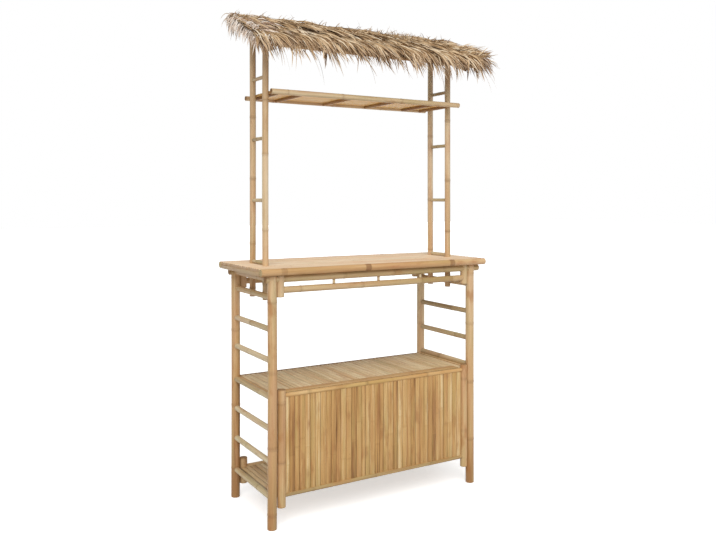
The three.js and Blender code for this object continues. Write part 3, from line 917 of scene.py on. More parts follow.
class Part:
    """What the sub-assemblies share: a counter for seeds and the making of single culms."""

    seed: int = 0

    def _next_seed(self) -> int:
        """Return a new seed."""
        self.seed += 1
        return self.seed

    def culm_piece(self, node: str, finish: Finish, culm: Culm, pitch: float = 0.28) -> bpy.types.Object:
        """Make a piece of one culm that stands for a node.

        Args:
            node: The node.
            finish: The culm's finish.
            culm: The culm; it gets knuckles where it has none.
            pitch: The usual distance between knuckles.

        Returns:
            The finished object.
        """
        piece = Piece(f"{node}_culm", finish, [node], self._next_seed())
        if not culm.knuckles:
            culm.knuckles = knuckle_places(culm.length(), pitch, piece.draw)
        return piece.add_culm(culm).done()

    def lying(self, node: str, radius: float, cuts: tuple[EndCut, EndCut], **looks: object) -> Culm:
        """Lay a culm along X where a node lies.

        Args:
            node: The node.
            radius: The culm's radius.
            cuts: The cuts of its left and right end.
            looks: More fields of the culm.

        Returns:
            The culm.
        """
        low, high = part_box(node)
        centre = (low + high) / 2
        start = Vector((low.x, centre.y, centre.z))
        end = Vector((high.x, centre.y, centre.z))
        return Culm(start, end, radius, cuts=cuts, **looks)

    def standing(self, node: str, radius: float, x: float | None = None, **looks: object) -> Culm:
        """Stand a culm where a node lies, hollow at its foot and plugged at its top.

        Args:
            node: The node.
            radius: The culm's radius.
            x: The X place of its axis, if not the middle of the node.
            looks: More fields of the culm.

        Returns:
            The culm.
        """
        low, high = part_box(node)
        at = middle(node)
        x = at.x if x is None else x
        foot, top = Vector((x, at.y, low.z)), Vector((x, at.y, high.z))
        return Culm(foot, top, radius, cuts=(EndCut.HOLLOW, EndCut.PLUG), **looks)


@dataclass
class Base(Part):
    """Four legs and the ladders between them."""

    seed: int = 100
    leg_radius: float = 19 * MM
    rung_radius: float = 11.8 * MM
    rail_radius: float = 11.8 * MM
    rungs: int = 4
    rung_tone: float = 0.5
    rail_tone: float = 0.3
    leg_knuckles: dict = field(default_factory=lambda: {
        "front_left": (0.056, 0.31, 0.6, 0.87),
        "front_right": (0.196, 0.451, 0.71, 0.93),
        "rear_left": (0.125, 0.39, 0.71, 0.93),
        "rear_right": (0.15, 0.41, 0.66, 0.89),
    })
    # The rear left leg's low tone is painted shade, for the shade on its side
    leg_tones: dict = field(default_factory=lambda: {
        "front_left": 0.42, "front_right": 0.46, "rear_left": 0.3, "rear_right": 0.72,
    })
    rail_tones: dict = field(default_factory=lambda: {
        "mid_rail_left": 0.26, "low_rail_left": 0.26, "mid_rail_right": 0.34,
        "rung_right_1": 0.24, "rung_right_2": 0.28, "rung_right_3": 0.34, "rung_right_4": 0.24,
    })

    def build(self) -> None:
        """Build the legs, rungs and rails."""
        for side in SIDES:
            for row in ROWS:
                self._leg(row, side)
            rails = [(f"rung_{side}_{i + 1}", self.rung_radius, self.rung_tone) for i in range(self.rungs)]
            rails += [(f"{kind}_rail_{side}", self.rail_radius, self.rail_tone) for kind in ("low", "mid")]
            for node, radius, usual in rails:
                self.rail(node, side, radius, Finish.PALE, tone=self.rail_tones.get(node, usual))

    def _leg(self, row: str, side: str) -> None:
        """Build one leg.

        Args:
            row: Front or rear.
            side: Left or right.
        """
        place = f"{row}_{side}"
        # The grade paints light and shade: each leg is darker at its foot and lighter at its top
        self.culm_piece(f"leg_{place}", Finish.LEG, self.standing(
            f"leg_{place}", self.leg_radius, knuckles=self.leg_knuckles[place], sides=24, bow=2.2 * MM,
            tone=self.leg_tones[place], spread=0.14, grade=0.6, swell=1.4, line_share=0.55,
        ))

    def rail(
        self, node: str, side: str, radius: float, finish: Finish, x: float | None = None, tone: float = 0.5,
    ) -> None:
        """Build a culm that runs from the front leg to the rear leg of a side.

        Args:
            node: The node that it stands for.
            side: Left or right.
            radius: Its radius.
            finish: Its finish.
            x: Where its axis lies, if not between the legs' axes.
            tone: Its usual tone.
        """
        at = middle(node)
        legs = [middle(f"leg_{row}_{side}") for row in ROWS]
        x = legs[0].x if x is None else x
        reach = self.leg_radius + CLEARANCE - WALL_INSET
        self.culm_piece(node, finish, Culm(
            Vector((x, legs[0].y + reach, at.z)), Vector((x, legs[1].y - reach, at.z)), radius,
            cuts=(EndCut.COPE, EndCut.COPE), cope_radius=reach, cope_offset=x - legs[0].x,
            tone=tone, spread=0.14,
        ))


@dataclass
class Aprons(Part):
    """The rails, spacers and posts under the tabletop."""

    seed: int = 200
    upper_radius: float = 14.4 * MM
    lower_radius: float = 13.4 * MM
    side_lower_radius: float = 11.8 * MM
    post_radius: float = 16.4 * MM
    spacer_radius: float = 6.4 * MM
    spacer_bite: float = 1 * MM
    spacer_places: tuple[float, ...] = (-0.211, 0.0, 0.211)
    upper_left_trim: float = 14 * MM
    lower_trim: float = 2 * MM
    lower_knuckles: tuple[float, ...] = (0.074, 0.355, 0.648, 0.815)
    post_tones: dict = field(default_factory=lambda: {"left": 0.78, "right": 0.6})

    def build(self, base: Base) -> None:
        """Build the front, rear and side aprons.

        Args:
            base: The base that the side rails are coped to.
        """
        for row in ROWS:
            node = f"apron_upper_{row}"
            upper = self.lying(node, self.upper_radius, (EndCut.PLUG, EndCut.PLUG), tone=0.55)
            upper.start.x += self.upper_left_trim
            self.culm_piece(node, Finish.RAIL, upper)
            self._lower(row)
            for side, sign in SIDES.items():
                self._post(row, side, sign)
        for side, sign in SIDES.items():
            for node, radius in (
                (f"side_apron_upper_{side}", self.upper_radius),
                (f"side_apron_lower_{side}", self.side_lower_radius),
            ):
                low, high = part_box(node)
                outer = high.x if sign > 0 else low.x
                base.rail(node, side, radius, Finish.RAIL, outer - sign * radius)

    def _lower(self, row: str) -> None:
        """Build the lower rail of the front or rear apron, with its spacers.

        Args:
            row: Front or rear.
        """
        node = f"apron_lower_{row}"
        low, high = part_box(node)
        at = Vector((0, middle(node).y, low.z + self.lower_radius))
        rail = Piece(f"{node}_culm", Finish.RAIL, [node], self._next_seed())
        rail.add_culm(Culm(
            Vector((low.x + self.lower_trim, at.y, at.z)), Vector((high.x - self.lower_trim, at.y, at.z)),
            self.lower_radius, self.lower_knuckles, (EndCut.COPE, EndCut.COPE),
            cope_radius=self.post_radius, tone=0.45,
        )).done()
        foot = at.z + self.lower_radius - self.spacer_bite
        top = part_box(f"apron_upper_{row}")[0].z + self.spacer_bite
        for number, x in enumerate(self.spacer_places):
            spacer = Piece(f"{node}_spacer_{number + 1}", Finish.RAIL, [node], self._next_seed())
            spacer.add_culm(Culm(
                Vector((x, at.y, foot)), Vector((x, at.y, top)), self.spacer_radius,
                sides=12, bow=0.0, tone=0.95, spread=0.05,
            )).done()

    def _post(self, row: str, side: str, sign: int) -> None:
        """Build one post of the front or rear apron.

        Args:
            row: Front or rear.
            side: Left or right.
            sign: The side's sign along X.
        """
        node = f"apron_post_{row}_{side}"
        self.culm_piece(node, Finish.RAIL, self.standing(
            node, self.post_radius, inner_axis(node, sign, self.post_radius),
            sides=20, bow=0.0, tone=self.post_tones[side], spread=0.08,
        ), pitch=0.5)


@dataclass
class Mat(Part):
    """A mat of split slats side by side, on bars that run across them."""

    node: str
    finish: Finish
    along: Vector
    up: Vector
    count: int
    thickness: float
    bars: tuple[float, ...]
    bar_width: float
    bar_finish: Finish
    seed: int
    tone: float = 0.55
    spread: float = 0.3
    gap: float = 1.0 * MM
    knot_pitch: float = 0.3
    knot_share: float = 0.5
    # edge_shade is painted shade along each slat's sides, between the slats
    edge_shade: float = 0.5
    overlap: float = 0.0
    crown: float = 1.2 * MM
    bar_tone: float = 0.45
    bar_crown: float = 0.6 * MM
    bar_knot_pitch: float = 0.3
    bar_spread: float = 0.15
    tone_sigma: float = 0.55
    width_varies: Span = (0.86, 1.14)
    gap_varies: Span = (0.6, 1.5)
    knots_vary: Span = (0.2, 1.2)
    most_sunk: float = 0.9 * MM
    most_trim: float = 1.2 * MM
    thinned: float = 0.5 * MM
    most_bow: float = 0.25

    def build(self) -> None:
        """Build the slats and the bars as two pieces."""
        low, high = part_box(self.node)
        across = self.up.cross(self.along)
        centre = (low + high) / 2
        half = (high - low) / 2
        reach = abs(self.along.dot(half))
        width = 2 * abs(across.dot(half))
        depth = 2 * abs(self.up.dot(half))
        face = centre + self.up * (depth / 2)
        self._slats(face, across, reach, width)
        self._bars(face - self.up * self.thickness, across, width, depth - self.thickness)

    def _slats(self, face: Vector, across: Vector, reach: float, width: float) -> None:
        """Build the slats.

        Args:
            face: The middle of the mat's outer face.
            across: The direction from slat to slat.
            reach: Half the slats' length.
            width: The mat's width.
        """
        piece = Piece(f"{self.node}_strips", self.finish, [self.node], self._next_seed())
        draw = piece.draw
        shares = [draw.uniform(*self.width_varies) for _ in range(self.count)]
        pitch = width / sum(shares)
        at = -width / 2
        for share in shares:
            wide = share * pitch
            place = face + across * (at + wide / 2) - self.up * draw.uniform(0.0, self.most_sunk)
            tone = min(max(self.tone + draw.gauss(0, self.tone_sigma) * self.spread, DARKEST), PALEST)
            half = reach - (draw.uniform(0.0, self.most_trim) - self.overlap)
            piece.add_slat(Slat(
                place - self.along * half, place + self.along * half, self.up,
                wide - self.gap * draw.uniform(*self.gap_varies), self.thickness - self.thinned, tone,
                knuckle_places(2 * reach, self.knot_pitch, draw), self.crown,
                draw.uniform(-self.most_bow, self.most_bow) * MM,
                self.knot_share * draw.uniform(*self.knots_vary), self.edge_shade,
            ))
            at += wide
        piece.done()

    def _bars(self, face: Vector, across: Vector, width: float, depth: float) -> None:
        """Build the bars under the slats.

        Args:
            face: The middle of the plane that the slats lie on.
            across: The direction that the bars run in.
            width: The mat's width.
            depth: The bars' thickness.
        """
        piece = Piece(f"{self.node}_bars", self.bar_finish, [self.node], self._next_seed())
        for place in self.bars:
            at = face + self.along * place
            piece.add_slat(Slat(
                at - across * (width / 2), at + across * (width / 2), self.up, self.bar_width, depth,
                self.bar_tone + piece.draw.uniform(-self.bar_spread, self.bar_spread),
                knuckle_places(width, self.bar_knot_pitch, piece.draw), crown=self.bar_crown,
            ))
        piece.done()


@dataclass
class CounterTop(Part):
    """The tabletop: a mat of slats between two round edge poles."""

    seed: int = 300
    edge_radius: float = 14.3 * MM
    slat_thickness: float = 12 * MM
    slats: int = 18
    bar_width: float = 30 * MM
    bars: int = 6
    edge_knuckles: dict = field(default_factory=lambda: {
        "front": (0.0955, 0.4715, 0.8985), "rear": (0.19, 0.5, 0.81),
    })

    def build(self) -> None:
        """Build the mat and the edge poles."""
        low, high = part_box("tabletop_slats")
        span = (high.x - low.x) - self.bar_width
        places = tuple(span * (i / (self.bars - 1) - 0.5) for i in range(self.bars))
        Mat(
            "tabletop_slats", Finish.TOP, along=X, up=Z, count=self.slats, thickness=self.slat_thickness,
            bars=places, bar_width=self.bar_width, bar_finish=Finish.RAIL, seed=310,
            tone=0.72, spread=0.24, gap=1.0 * MM, knot_pitch=0.36, knot_share=0.3, edge_shade=0.4,
        ).build()
        for row in ROWS:
            node = f"tabletop_edge_{row}"
            self.culm_piece(node, Finish.EDGE, self.lying(
                node, self.edge_radius, (EndCut.PLUG, EndCut.PLUG), sides=24, tone=0.56,
                knuckles=self.edge_knuckles[row], band=11 * MM, band_share=0.62, line_share=0.75,
            ))


@dataclass
class Cabinet(Part):
    """The slatted front panel and the two lower shelves."""

    seed: int = 400
    stile_radius: float = 16.4 * MM
    left_stile_nudge: float = 5 * MM
    trim_radius: float = 8.8 * MM
    bottom_radius: float = 9.2 * MM
    stub_radius: float = 17 * MM
    stub_gap: float = 0.3 * MM
    leg_radius: float = 19 * MM
    rear_rail_radius: float = 11.8 * MM
    rear_rail_pitch: float = 0.28
    bottom_knuckles: tuple[float, ...] = (0.13, 0.42, 0.69)
    stile_knuckles: dict = field(default_factory=lambda: {"left": (0.173, 0.402), "right": (0.16, 0.39)})
    left_stile_swell: float = 0.8 * MM
    front_strips: tuple[tuple[float, float], ...] = ((21 * MM, 0.62), (25 * MM, 0.42))
    front_strip_rise: float = 1.6 * MM
    front_strip_trim: float = 6 * MM
    side_strip_trim: float = 10 * MM
    panel_slats: int = 38
    shelf_slats: int = 44
    # The shelves' tones paint light and shade: the middle shelf lighter against the shade under the counter,
    # the bottom one darker for the shade inside the cabinet
    shelves: tuple[tuple[str, int, float], ...] = (("mid", 450, 0.86), ("bottom", 470, 0.6))
    shelf_bar_share: float = 0.33

    def build(self) -> None:
        """Build the panel, the shelves and their rails."""
        for side, sign in SIDES.items():
            self._stile(side, sign)
        between = (EndCut.COPE, EndCut.COPE)
        trim = self.lying("panel_trim", self.trim_radius, between, cope_radius=self.stile_radius, tone=0.62)
        self.culm_piece("panel_trim", Finish.TRIM, trim)
        bottom = self.lying(
            "panel_bottom_rail", self.bottom_radius, between, cope_radius=self.stile_radius, tone=0.15,
            knuckles=self.bottom_knuckles,
        )
        self.culm_piece("panel_bottom_rail", Finish.RAIL, bottom)
        rear = self.lying("mid_shelf_rear_rail", self.trim_radius, between, cope_radius=self.leg_radius)
        self.culm_piece("mid_shelf_rear_rail", Finish.SMOKED, rear)
        self._rear_frame()
        low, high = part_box("panel_slats")
        height = high.z - low.z
        Mat(
            "panel_slats", Finish.PANEL, along=Z, up=-Y, count=self.panel_slats, thickness=9 * MM,
            bars=(-height / 4, height / 4), bar_width=30 * MM, bar_finish=Finish.SHELF, seed=430,
            tone=0.56, spread=0.3, gap=0.7 * MM, knot_pitch=0.3, knot_share=0.12, edge_shade=0.3,
            overlap=4 * MM, crown=0.6 * MM,
        ).build()
        for shelf, seed, tone in self.shelves:
            low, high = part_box(f"{shelf}_shelf_slats")
            bar = (high.y - low.y) * self.shelf_bar_share
            Mat(
                f"{shelf}_shelf_slats", Finish.SHELF, along=Y, up=Z, count=self.shelf_slats,
                thickness=10 * MM, bars=(-bar, bar), bar_width=26 * MM, bar_finish=Finish.SMOKED, seed=seed,
                tone=tone, spread=0.24, gap=0.9 * MM, knot_pitch=0.3, knot_share=0.15, edge_shade=0.6,
                crown=0.9 * MM,
            ).build()
        self._deck_strips()

    def _deck_strips(self) -> None:
        """Lay the strips along the middle shelf's front edge and beside its side edges."""
        node = "mid_shelf_slats"
        low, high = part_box(node)
        trim_low, trim_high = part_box("panel_trim")
        piece = Piece(f"{node}_front_strips", Finish.HONEY, [node], self._next_seed())
        y = trim_high.y + SEAT_DEPTH
        for width, tone in self.front_strips:
            at = Vector((0, y + width / 2, high.z + self.front_strip_rise))
            start = Vector((trim_low.x + self.front_strip_trim, at.y, at.z))
            end = Vector((trim_high.x - self.front_strip_trim, at.y, at.z))
            piece.add_slat(Slat(
                start, end, Z, width - 1 * MM, 2 * MM, tone, (0.31, 0.62), 0.7 * MM, knot_share=0.2,
            ))
            y += width
        piece.done()
        piece = Piece(f"{node}_side_strips", Finish.SHELF, [node], self._next_seed())
        # The left strip's low tone is painted shade, the dark line between the mat and the rail
        for x, width, lift, tone in (
            (low.x - 5.6 * MM, 13 * MM, -2 * MM, 0.3), (high.x + 6.6 * MM, 17 * MM, 3.6 * MM, 0.6),
        ):
            start = Vector((x, low.y + self.side_strip_trim, high.z + lift))
            end = Vector((x, high.y - self.side_strip_trim, high.z + lift))
            piece.add_slat(Slat(start, end, Z, width, 5 * MM, tone, (0.2,)))
        piece.done()

    def _stile(self, side: str, sign: int) -> None:
        """Build one stile of the panel.

        Args:
            side: Left or right.
            sign: The side's sign along X.
        """
        node = f"panel_stile_{side}"
        nudge, swell = (self.left_stile_nudge, self.left_stile_swell) if sign < 0 else (0.0, 0.0)
        self.culm_piece(node, Finish.LEG, self.standing(
            node, self.stile_radius + swell, inner_axis(node, sign, self.stile_radius) + nudge,
            knuckles=self.stile_knuckles[side], sides=24, bow=0.5 * MM, tone=0.38, spread=0.12,
        ))

    def _rear_frame(self) -> None:
        """Build the bottom shelf's rear rail and its two short posts."""
        node = "bottom_shelf_rear_frame"
        right_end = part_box(node)[1].x
        y = middle(node).y
        z = middle("low_rail_left").z
        posts = []
        for side, sign in SIDES.items():
            x = sign * (right_end - self.stub_radius - self.stub_gap)
            posts.append(x)
            post = Piece(f"{node}_post_{side}", Finish.RAIL, [node], self._next_seed())
            post.add_culm(self.standing(node, self.stub_radius, x, sides=20, bow=0.0, tone=0.6)).done()
        reach = self.stub_radius - SEAT_DEPTH
        rail = Piece(f"{node}_culm", Finish.RAIL, [node], self._next_seed())
        culm = Culm(
            Vector((posts[0] + reach, y, z)), Vector((posts[1] - reach, y, z)), self.rear_rail_radius,
            cuts=(EndCut.COPE, EndCut.COPE), cope_radius=reach,
        )
        culm.knuckles = knuckle_places(culm.length(), self.rear_rail_pitch, rail.draw)
        rail.add_culm(culm).done()


@dataclass
class Tower(Part):
    """The four uprights, their rungs and the upper shelf."""

    seed: int = 500
    upright_radius: float = 13.2 * MM
    rung_radius: float = 8 * MM
    rail_radii: dict = field(default_factory=lambda: {"front": 11.6 * MM, "rear": 10.6 * MM})
    rail_left_trim: float = 8 * MM
    rungs: int = 4
    slats: int = 12
    bar_shares: tuple[float, ...] = (-0.483, -0.366, -0.107, 0.136, 0.371, 0.483)
    # Painted light: the uprights' tops are painted lighter against the shade under the roof, the right ones
    # most
    grades: dict = field(default_factory=lambda: {"left": 0.15, "right": 0.6})
    tones: dict = field(default_factory=lambda: {
        "front_left": 0.64, "front_right": 0.66, "rear_left": 0.46, "rear_right": 0.68,
    })
    knuckles: dict = field(default_factory=lambda: {
        "front_left": (0.06434, 0.27913, 0.58191, 0.79764),
        "front_right": (0.05488, 0.25358, 0.48729, 0.75979),
        "rear_left": (0.03405, 0.21953, 0.48746, 0.74015),
        "rear_right": (0.16398, 0.39875, 0.69713),
    })

    def build(self) -> None:
        """Build the uprights, rungs and shelf."""
        for side in SIDES:
            for row in ROWS:
                place = f"{row}_{side}"
                self.culm_piece(f"upright_{place}", Finish.TOWER, self.standing(
                    f"upright_{place}", self.upright_radius, knuckles=self.knuckles[place], sides=20,
                    bow=1.8 * MM, tone=self.tones[place], spread=0.18, swell=1.5, grade=self.grades[side],
                ))
            for number in range(self.rungs):
                self._rung(f"tower_rung_{side}_{number}", side)
        self._shelf()

    def _rung(self, node: str, side: str) -> None:
        """Build a rung between a side's uprights.

        Args:
            node: The node that it stands for.
            side: Left or right.
        """
        at = middle(node)
        posts = [middle(f"upright_{row}_{side}") for row in ROWS]
        reach = self.upright_radius - SEAT_DEPTH
        self.culm_piece(node, Finish.PALE, Culm(
            Vector((at.x, posts[0].y + reach, at.z)), Vector((at.x, posts[1].y - reach, at.z)),
            self.rung_radius, cuts=(EndCut.COPE, EndCut.COPE), cope_radius=reach, bow=0.2 * MM,
            tone=0.42, spread=0.2,
        ), pitch=0.2)

    def _shelf(self) -> None:
        """Build the upper shelf."""
        for row in ROWS:
            node = f"upper_shelf_rail_{row}"
            rail = self.lying(node, self.rail_radii[row], (EndCut.HOLLOW, EndCut.HOLLOW), sides=20, tone=0.78)
            rail.start.x += self.rail_left_trim
            self.culm_piece(node, Finish.SHELF_RAIL, rail)
        low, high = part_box("upper_shelf_slats")
        span = high.x - low.x
        # The slats' high tone paints light onto the shelf's shaded underside; the bars' near-darkest tone is
        # painted shade, the dark lines beside them
        Mat(
            "upper_shelf_slats", Finish.AMBER, along=X, up=Z, count=self.slats, thickness=9 * MM,
            bars=tuple(share * span for share in self.bar_shares), bar_width=8 * MM,
            bar_finish=Finish.HONEY, seed=530,
            tone=0.8, spread=0.2, knot_pitch=0.3, bar_tone=0.05, knot_share=0.2, edge_shade=0.2,
        ).build()


@dataclass
class RoofFrame(Part):
    """The poles under the thatch."""

    seed: int = 600
    radius: float = 10 * MM

    def build(self) -> None:
        """Build the ridge pole, the eave pole and the rafters."""
        for node in ("ridge_pole", "eave_pole"):
            self.culm_piece(node, Finish.LEG, self.lying(node, self.radius, (EndCut.HOLLOW, EndCut.HOLLOW)))
        ridge, eave = middle("ridge_pole"), middle("eave_pole")
        slope = (ridge - eave).normalized()
        for side in SIDES:
            node = f"rafter_{side}"
            low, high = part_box(node)
            at = middle(node)
            half = ((high.y - low.y) / 2 - self.radius * slope.z) / slope.y
            self.culm_piece(node, Finish.LEG, Culm(
                at - slope * half, at + slope * half, self.radius, cuts=(EndCut.HOLLOW, EndCut.HOLLOW),
            ))


class Profile:
    """The thatch's outer line from its rear edge over the shoulder and down the front, in the Y-Z plane."""

    nudge: float = 12 * MM

    def __init__(self, points: Sequence[Span]) -> None:
        """Measure the line.

        Args:
            points: Its Y and Z places, from the rear to the front.
        """
        self.points = np.array(points)
        steps = np.diff(self.points, axis=0)
        lengths = np.hypot(steps[:, 0], steps[:, 1])
        self.runs = np.concatenate(([0.0], np.cumsum(lengths)))
        self.length = float(self.runs[-1])

    def at(self, run: np.ndarray, lift: np.ndarray) -> np.ndarray:
        """Find places over the line. Past its end it goes on straight down, before its start straight back.

        Args:
            run: How far along the line.
            lift: How far out from it.

        Returns:
            The Y and Z places.
        """
        inside = np.clip(run, 0.0, self.length)
        y = np.interp(inside, self.runs, self.points[:, 0])
        z = np.interp(inside, self.runs, self.points[:, 1])
        before = np.clip(inside - self.nudge, 0.0, self.length)
        after = np.clip(inside + self.nudge, 0.0, self.length)
        dy, dz = (
            np.interp(after, self.runs, line) - np.interp(before, self.runs, line) for line in self.points.T
        )
        size = np.hypot(dy, dz)
        dy, dz = dy / size, dz / size
        past = np.maximum(run - self.length, 0.0)
        back = np.minimum(run, 0.0)
        return np.stack((y + dz * lift + dy * back, z - dy * lift + dz * back - past), axis=-1)


# The paths of a course's strands, as strands by rings by three, and each strand's width and tone
Course = tuple[np.ndarray, np.ndarray, np.ndarray]


@dataclass
class Strands:
    """The courses of one sheaf: a path, width and tone for each strand."""

    paths: list[np.ndarray] = field(default_factory=list)
    widths: list[np.ndarray] = field(default_factory=list)
    tones: list[np.ndarray] = field(default_factory=list)

    def add(self, paths: np.ndarray, widths: np.ndarray, tones: np.ndarray) -> None:
        """Add a course.

        Args:
            paths: Places of the rings, as strands by rings by three.
            widths: Each strand's width.
            tones: Each strand's tone.
        """
        self.paths.append(paths)
        self.widths.append(widths)
        self.tones.append(tones)


@dataclass
class Thatch(Part):
    """The thatched roof: a core painted dark as the shade between the strands, and strands of dry grass
    combed over it.
    """

    seed: int = 700
    rings: int = 6
    corners: int = 3
    pole_radius: float = 10 * MM
    rear_overhang: float = 16 * MM
    front_overhang: float = 24 * MM
    thickness: float = 29 * MM
    shoulder: float = 50 * MM
    fold_drop: float = 24 * MM
    foot_rise: float = -3 * MM
    lip: float = 15 * MM
    core_inset: float = 8 * MM
    core_end_inset: float = 12 * MM
    core_shortened: float = 0.03
    core_steps: int = 44
    core_lump: float = 5 * MM
    core_lean: float = 3 * MM
    root_depth: float = 4 * MM
    root_scatter: float = 0.03
    arch_share: float = 0.75
    front_room: float = 38 * MM
    left_reach: float = 0.558
    right_reach: float = 0.592
    long_tufts: tuple[Span, ...] = (
        (-0.505, 0.1), (-0.475, 0.105), (-0.44, 0.11), (-0.38, 0.125), (-0.345, 0.125), (-0.297, 0.105),
        (-0.244, 0.1), (-0.152, 0.1), (-0.06, 0.09), (0.105, 0.095), (0.18, 0.1), (0.212, 0.1),
        (0.308, 0.112), (0.384, 0.1), (0.462, 0.1), (0.553, 0.1),
    )
    outward: Triple = (0.0, -0.55, 0.85)
    roll: float = 0.5
    taper: tuple[float, ...] = (0.75, 1.0, 1.0, 0.85, 0.55, 0.08)
    flatness: float = 0.3
    grain_range: float = 30.0
    tone_spread: float = 0.2
    tuft_tone_spread: float = 0.17
    lean_spread: float = 11.0
    tuft_lean_spread: float = 19.0
    sag: float = 0.1
    stride: float = 4.0

    def __post_init__(self) -> None:
        """Work the roof's lines out from its poles."""
        ridge, eave = middle("ridge_pole"), middle("eave_pole")
        self.slope = math.atan2(ridge.z - eave.z, ridge.y - eave.y)
        self.rear = ridge.y + self.rear_overhang
        self.front = eave.y - self.front_overhang
        lift = self.pole_radius / math.cos(self.slope)
        self.under_at_zero = ridge.z - ridge.y * math.tan(self.slope) + lift
        self.draws = np.random.default_rng(self.seed)
        self.share = np.linspace(0.0, 1.0, self.rings)[None, :]
        self.top_line = Profile(self._outer_points(0.0))

    def under(self, y: float) -> float:
        """Return the height of the thatch's underside."""
        return self.under_at_zero + y * math.tan(self.slope)

    def _outer_points(self, inset: float) -> list[Span]:
        """List the outer line.

        Args:
            inset: How far inside the full thatch it runs.

        Returns:
            Y and Z places from the rear edge to the front's foot.
        """
        rise = (self.thickness - inset) / math.cos(self.slope)
        front = self.front + inset
        top = [(y, self.under(y) + rise) for y in np.linspace(self.rear - inset, front + self.shoulder, 5)]
        start = Vector(top[-1])
        corner = Vector((front, self.under(front) + rise))
        foot = Vector((front, corner.y - self.fold_drop))
        bend = [
            tuple(start.lerp(corner, t).lerp(corner.lerp(foot, t), t)) for t in np.linspace(0.2, 1.0, 5)
        ]
        end = (front, self.under(self.front) + self.foot_rise + inset / 2)
        return [*top, *bend, end]

    def build(self) -> None:
        """Build the core and the sheaves."""
        self._core()
        self._sheaf("thatch_cover", self._cover(), Finish.GRASS)
        self._sheaf("thatch_fringe", self._fringe(), Finish.GRASS)
        self._sheaf("thatch_ends", self._ends(), Finish.END_GRASS)
        self._sheaf("thatch_edges", self._edges(), Finish.GRASS)

    def _core(self) -> None:
        """Build the core that shows between the strands; its dark colour is painted shade."""
        piece = Piece("thatch_core_painted_shade", Finish.UNDER_GRASS, ["thatch"], self._next_seed())
        outer = self._outer_points(self.core_inset)
        inner_y = self.front + self.lip
        outline = [
            *outer,
            (inner_y, outer[-1][1]),
            (inner_y, self.under(inner_y) + 1 * MM),
            *[(y, self.under(y) + 1 * MM) for y in np.linspace(inner_y, self.rear - self.core_inset, 6)[1:]],
        ]
        corners = [piece.mesh.verts.new((0, y, z)) for y, z in outline]
        face = piece.mesh.faces.new(corners)
        step = (self.left_reach + self.right_reach - self.core_shortened) / self.core_steps
        bmesh.ops.spin(
            piece.mesh, geom=[*corners, *face.edges, face], cent=(0, 0, 0), axis=(1, 0, 0),
            dvec=(step, 0, 0), angle=0.0, steps=self.core_steps,
        )
        for vertex in piece.mesh.verts:
            vertex.co.x -= self.left_reach - self.core_end_inset
            lump = noise.noise(vertex.co * 22) * self.core_lump
            away = 1 if vertex.co.z > self.under(vertex.co.y) + 6 * MM else 0
            vertex.co.z += lump * away
            vertex.co.y += noise.noise(vertex.co * 17 + Vector((5, 1, 2))) * self.core_lean * away
            vertex[piece.grain] = (vertex.co.y, vertex.co.z, vertex.co.x)
            # Painted light and shade: the tone follows the lumps, raised ones lighter and sunk ones darker
            vertex[piece.marks] = (0.5 + lump * 60, 0.5, 0)
        piece.done()

    def _combed(
        self, count: int, x_range: Span, run_range: Span, lengths: Span, headings: Span, lifts: Span,
        widths: Span, tuft: int, tone: float, clump: float = 9 * MM, vary: float = 0.16, stiff: float = 0.55,
    ) -> Course:
        """Comb strands over the roof's outer line.

        Args:
            count: How many strands.
            x_range: Where their roots lie along the roof.
            run_range: Where their roots lie along the outer line, as shares of it.
            lengths: The shortest and longest strand.
            headings: The angle towards the right end at the root and at the tip, in degrees.
            lifts: How far the middle and the tip stand off, at most.
            widths: The narrowest and widest strand.
            tuft: How many strands share a heading and a lift.
            tone: The usual tone.
            clump: How far the strands of a tuft lie from its middle.
            vary: How much the tufts differ in length.
            stiff: How much a strand goes straight on rather than follow the outer line.

        Returns:
            The paths, widths and tones.
        """
        draws = self.draws

        def shared(low: float, high: float) -> np.ndarray:
            """Draw one value for each tuft."""
            return np.repeat(draws.uniform(low, high, math.ceil(count / tuft)), tuft)[:count]

        x0 = shared(*x_range) + draws.normal(0, clump, count)
        x0 = np.clip(x0, -self.left_reach, self.right_reach)
        run0 = (shared(*run_range) + draws.normal(0, self.root_scatter, count)) * self.top_line.length
        size = draws.uniform(*lengths, count) * shared(1 - vary, 1 + vary)
        own_lean = draws.normal(0, self.lean_spread, count)
        lean = np.radians(own_lean + shared(-self.tuft_lean_spread, self.tuft_lean_spread))
        lift_mid = shared(0.15, 1.0) * lifts[0] * draws.uniform(0.5, 1.0, count)
        lift_tip = shared(0.0, 1.0) * lifts[1] * draws.uniform(0.3, 1.0, count)
        share = self.share
        start, stop = (np.radians(angle) for angle in headings)
        heading = start + (stop - start) * share + lean[:, None]
        step = size[:, None] / (self.rings - 1)
        dx = np.cumsum(np.sin(heading) * step, axis=1) - np.sin(heading[:, :1]) * step
        ds = np.cumsum(np.cos(heading) * step, axis=1) - np.cos(heading[:, :1]) * step
        run = run0[:, None] + ds
        arch = lift_mid[:, None] * np.sin(np.pi * share * self.arch_share)
        lift = -self.root_depth + (arch + lift_tip[:, None] * share ** 2)
        places = self.top_line.at(run, lift) * (1 - stiff) + self._straight(run0, ds, lift) * stiff
        places[..., 1] -= self.sag * size[:, None] * share ** 2
        places[..., 0] = np.maximum(places[..., 0], self.front - self.front_room)
        x = x0[:, None] + dx
        paths = np.concatenate((x[..., None], places), axis=-1)
        tuft_tone = tone + shared(-self.tuft_tone_spread, self.tuft_tone_spread)
        tones = np.clip(tuft_tone + draws.normal(0, self.tone_spread, count), DARKEST, PALEST)
        return paths, draws.uniform(*widths, count), tones

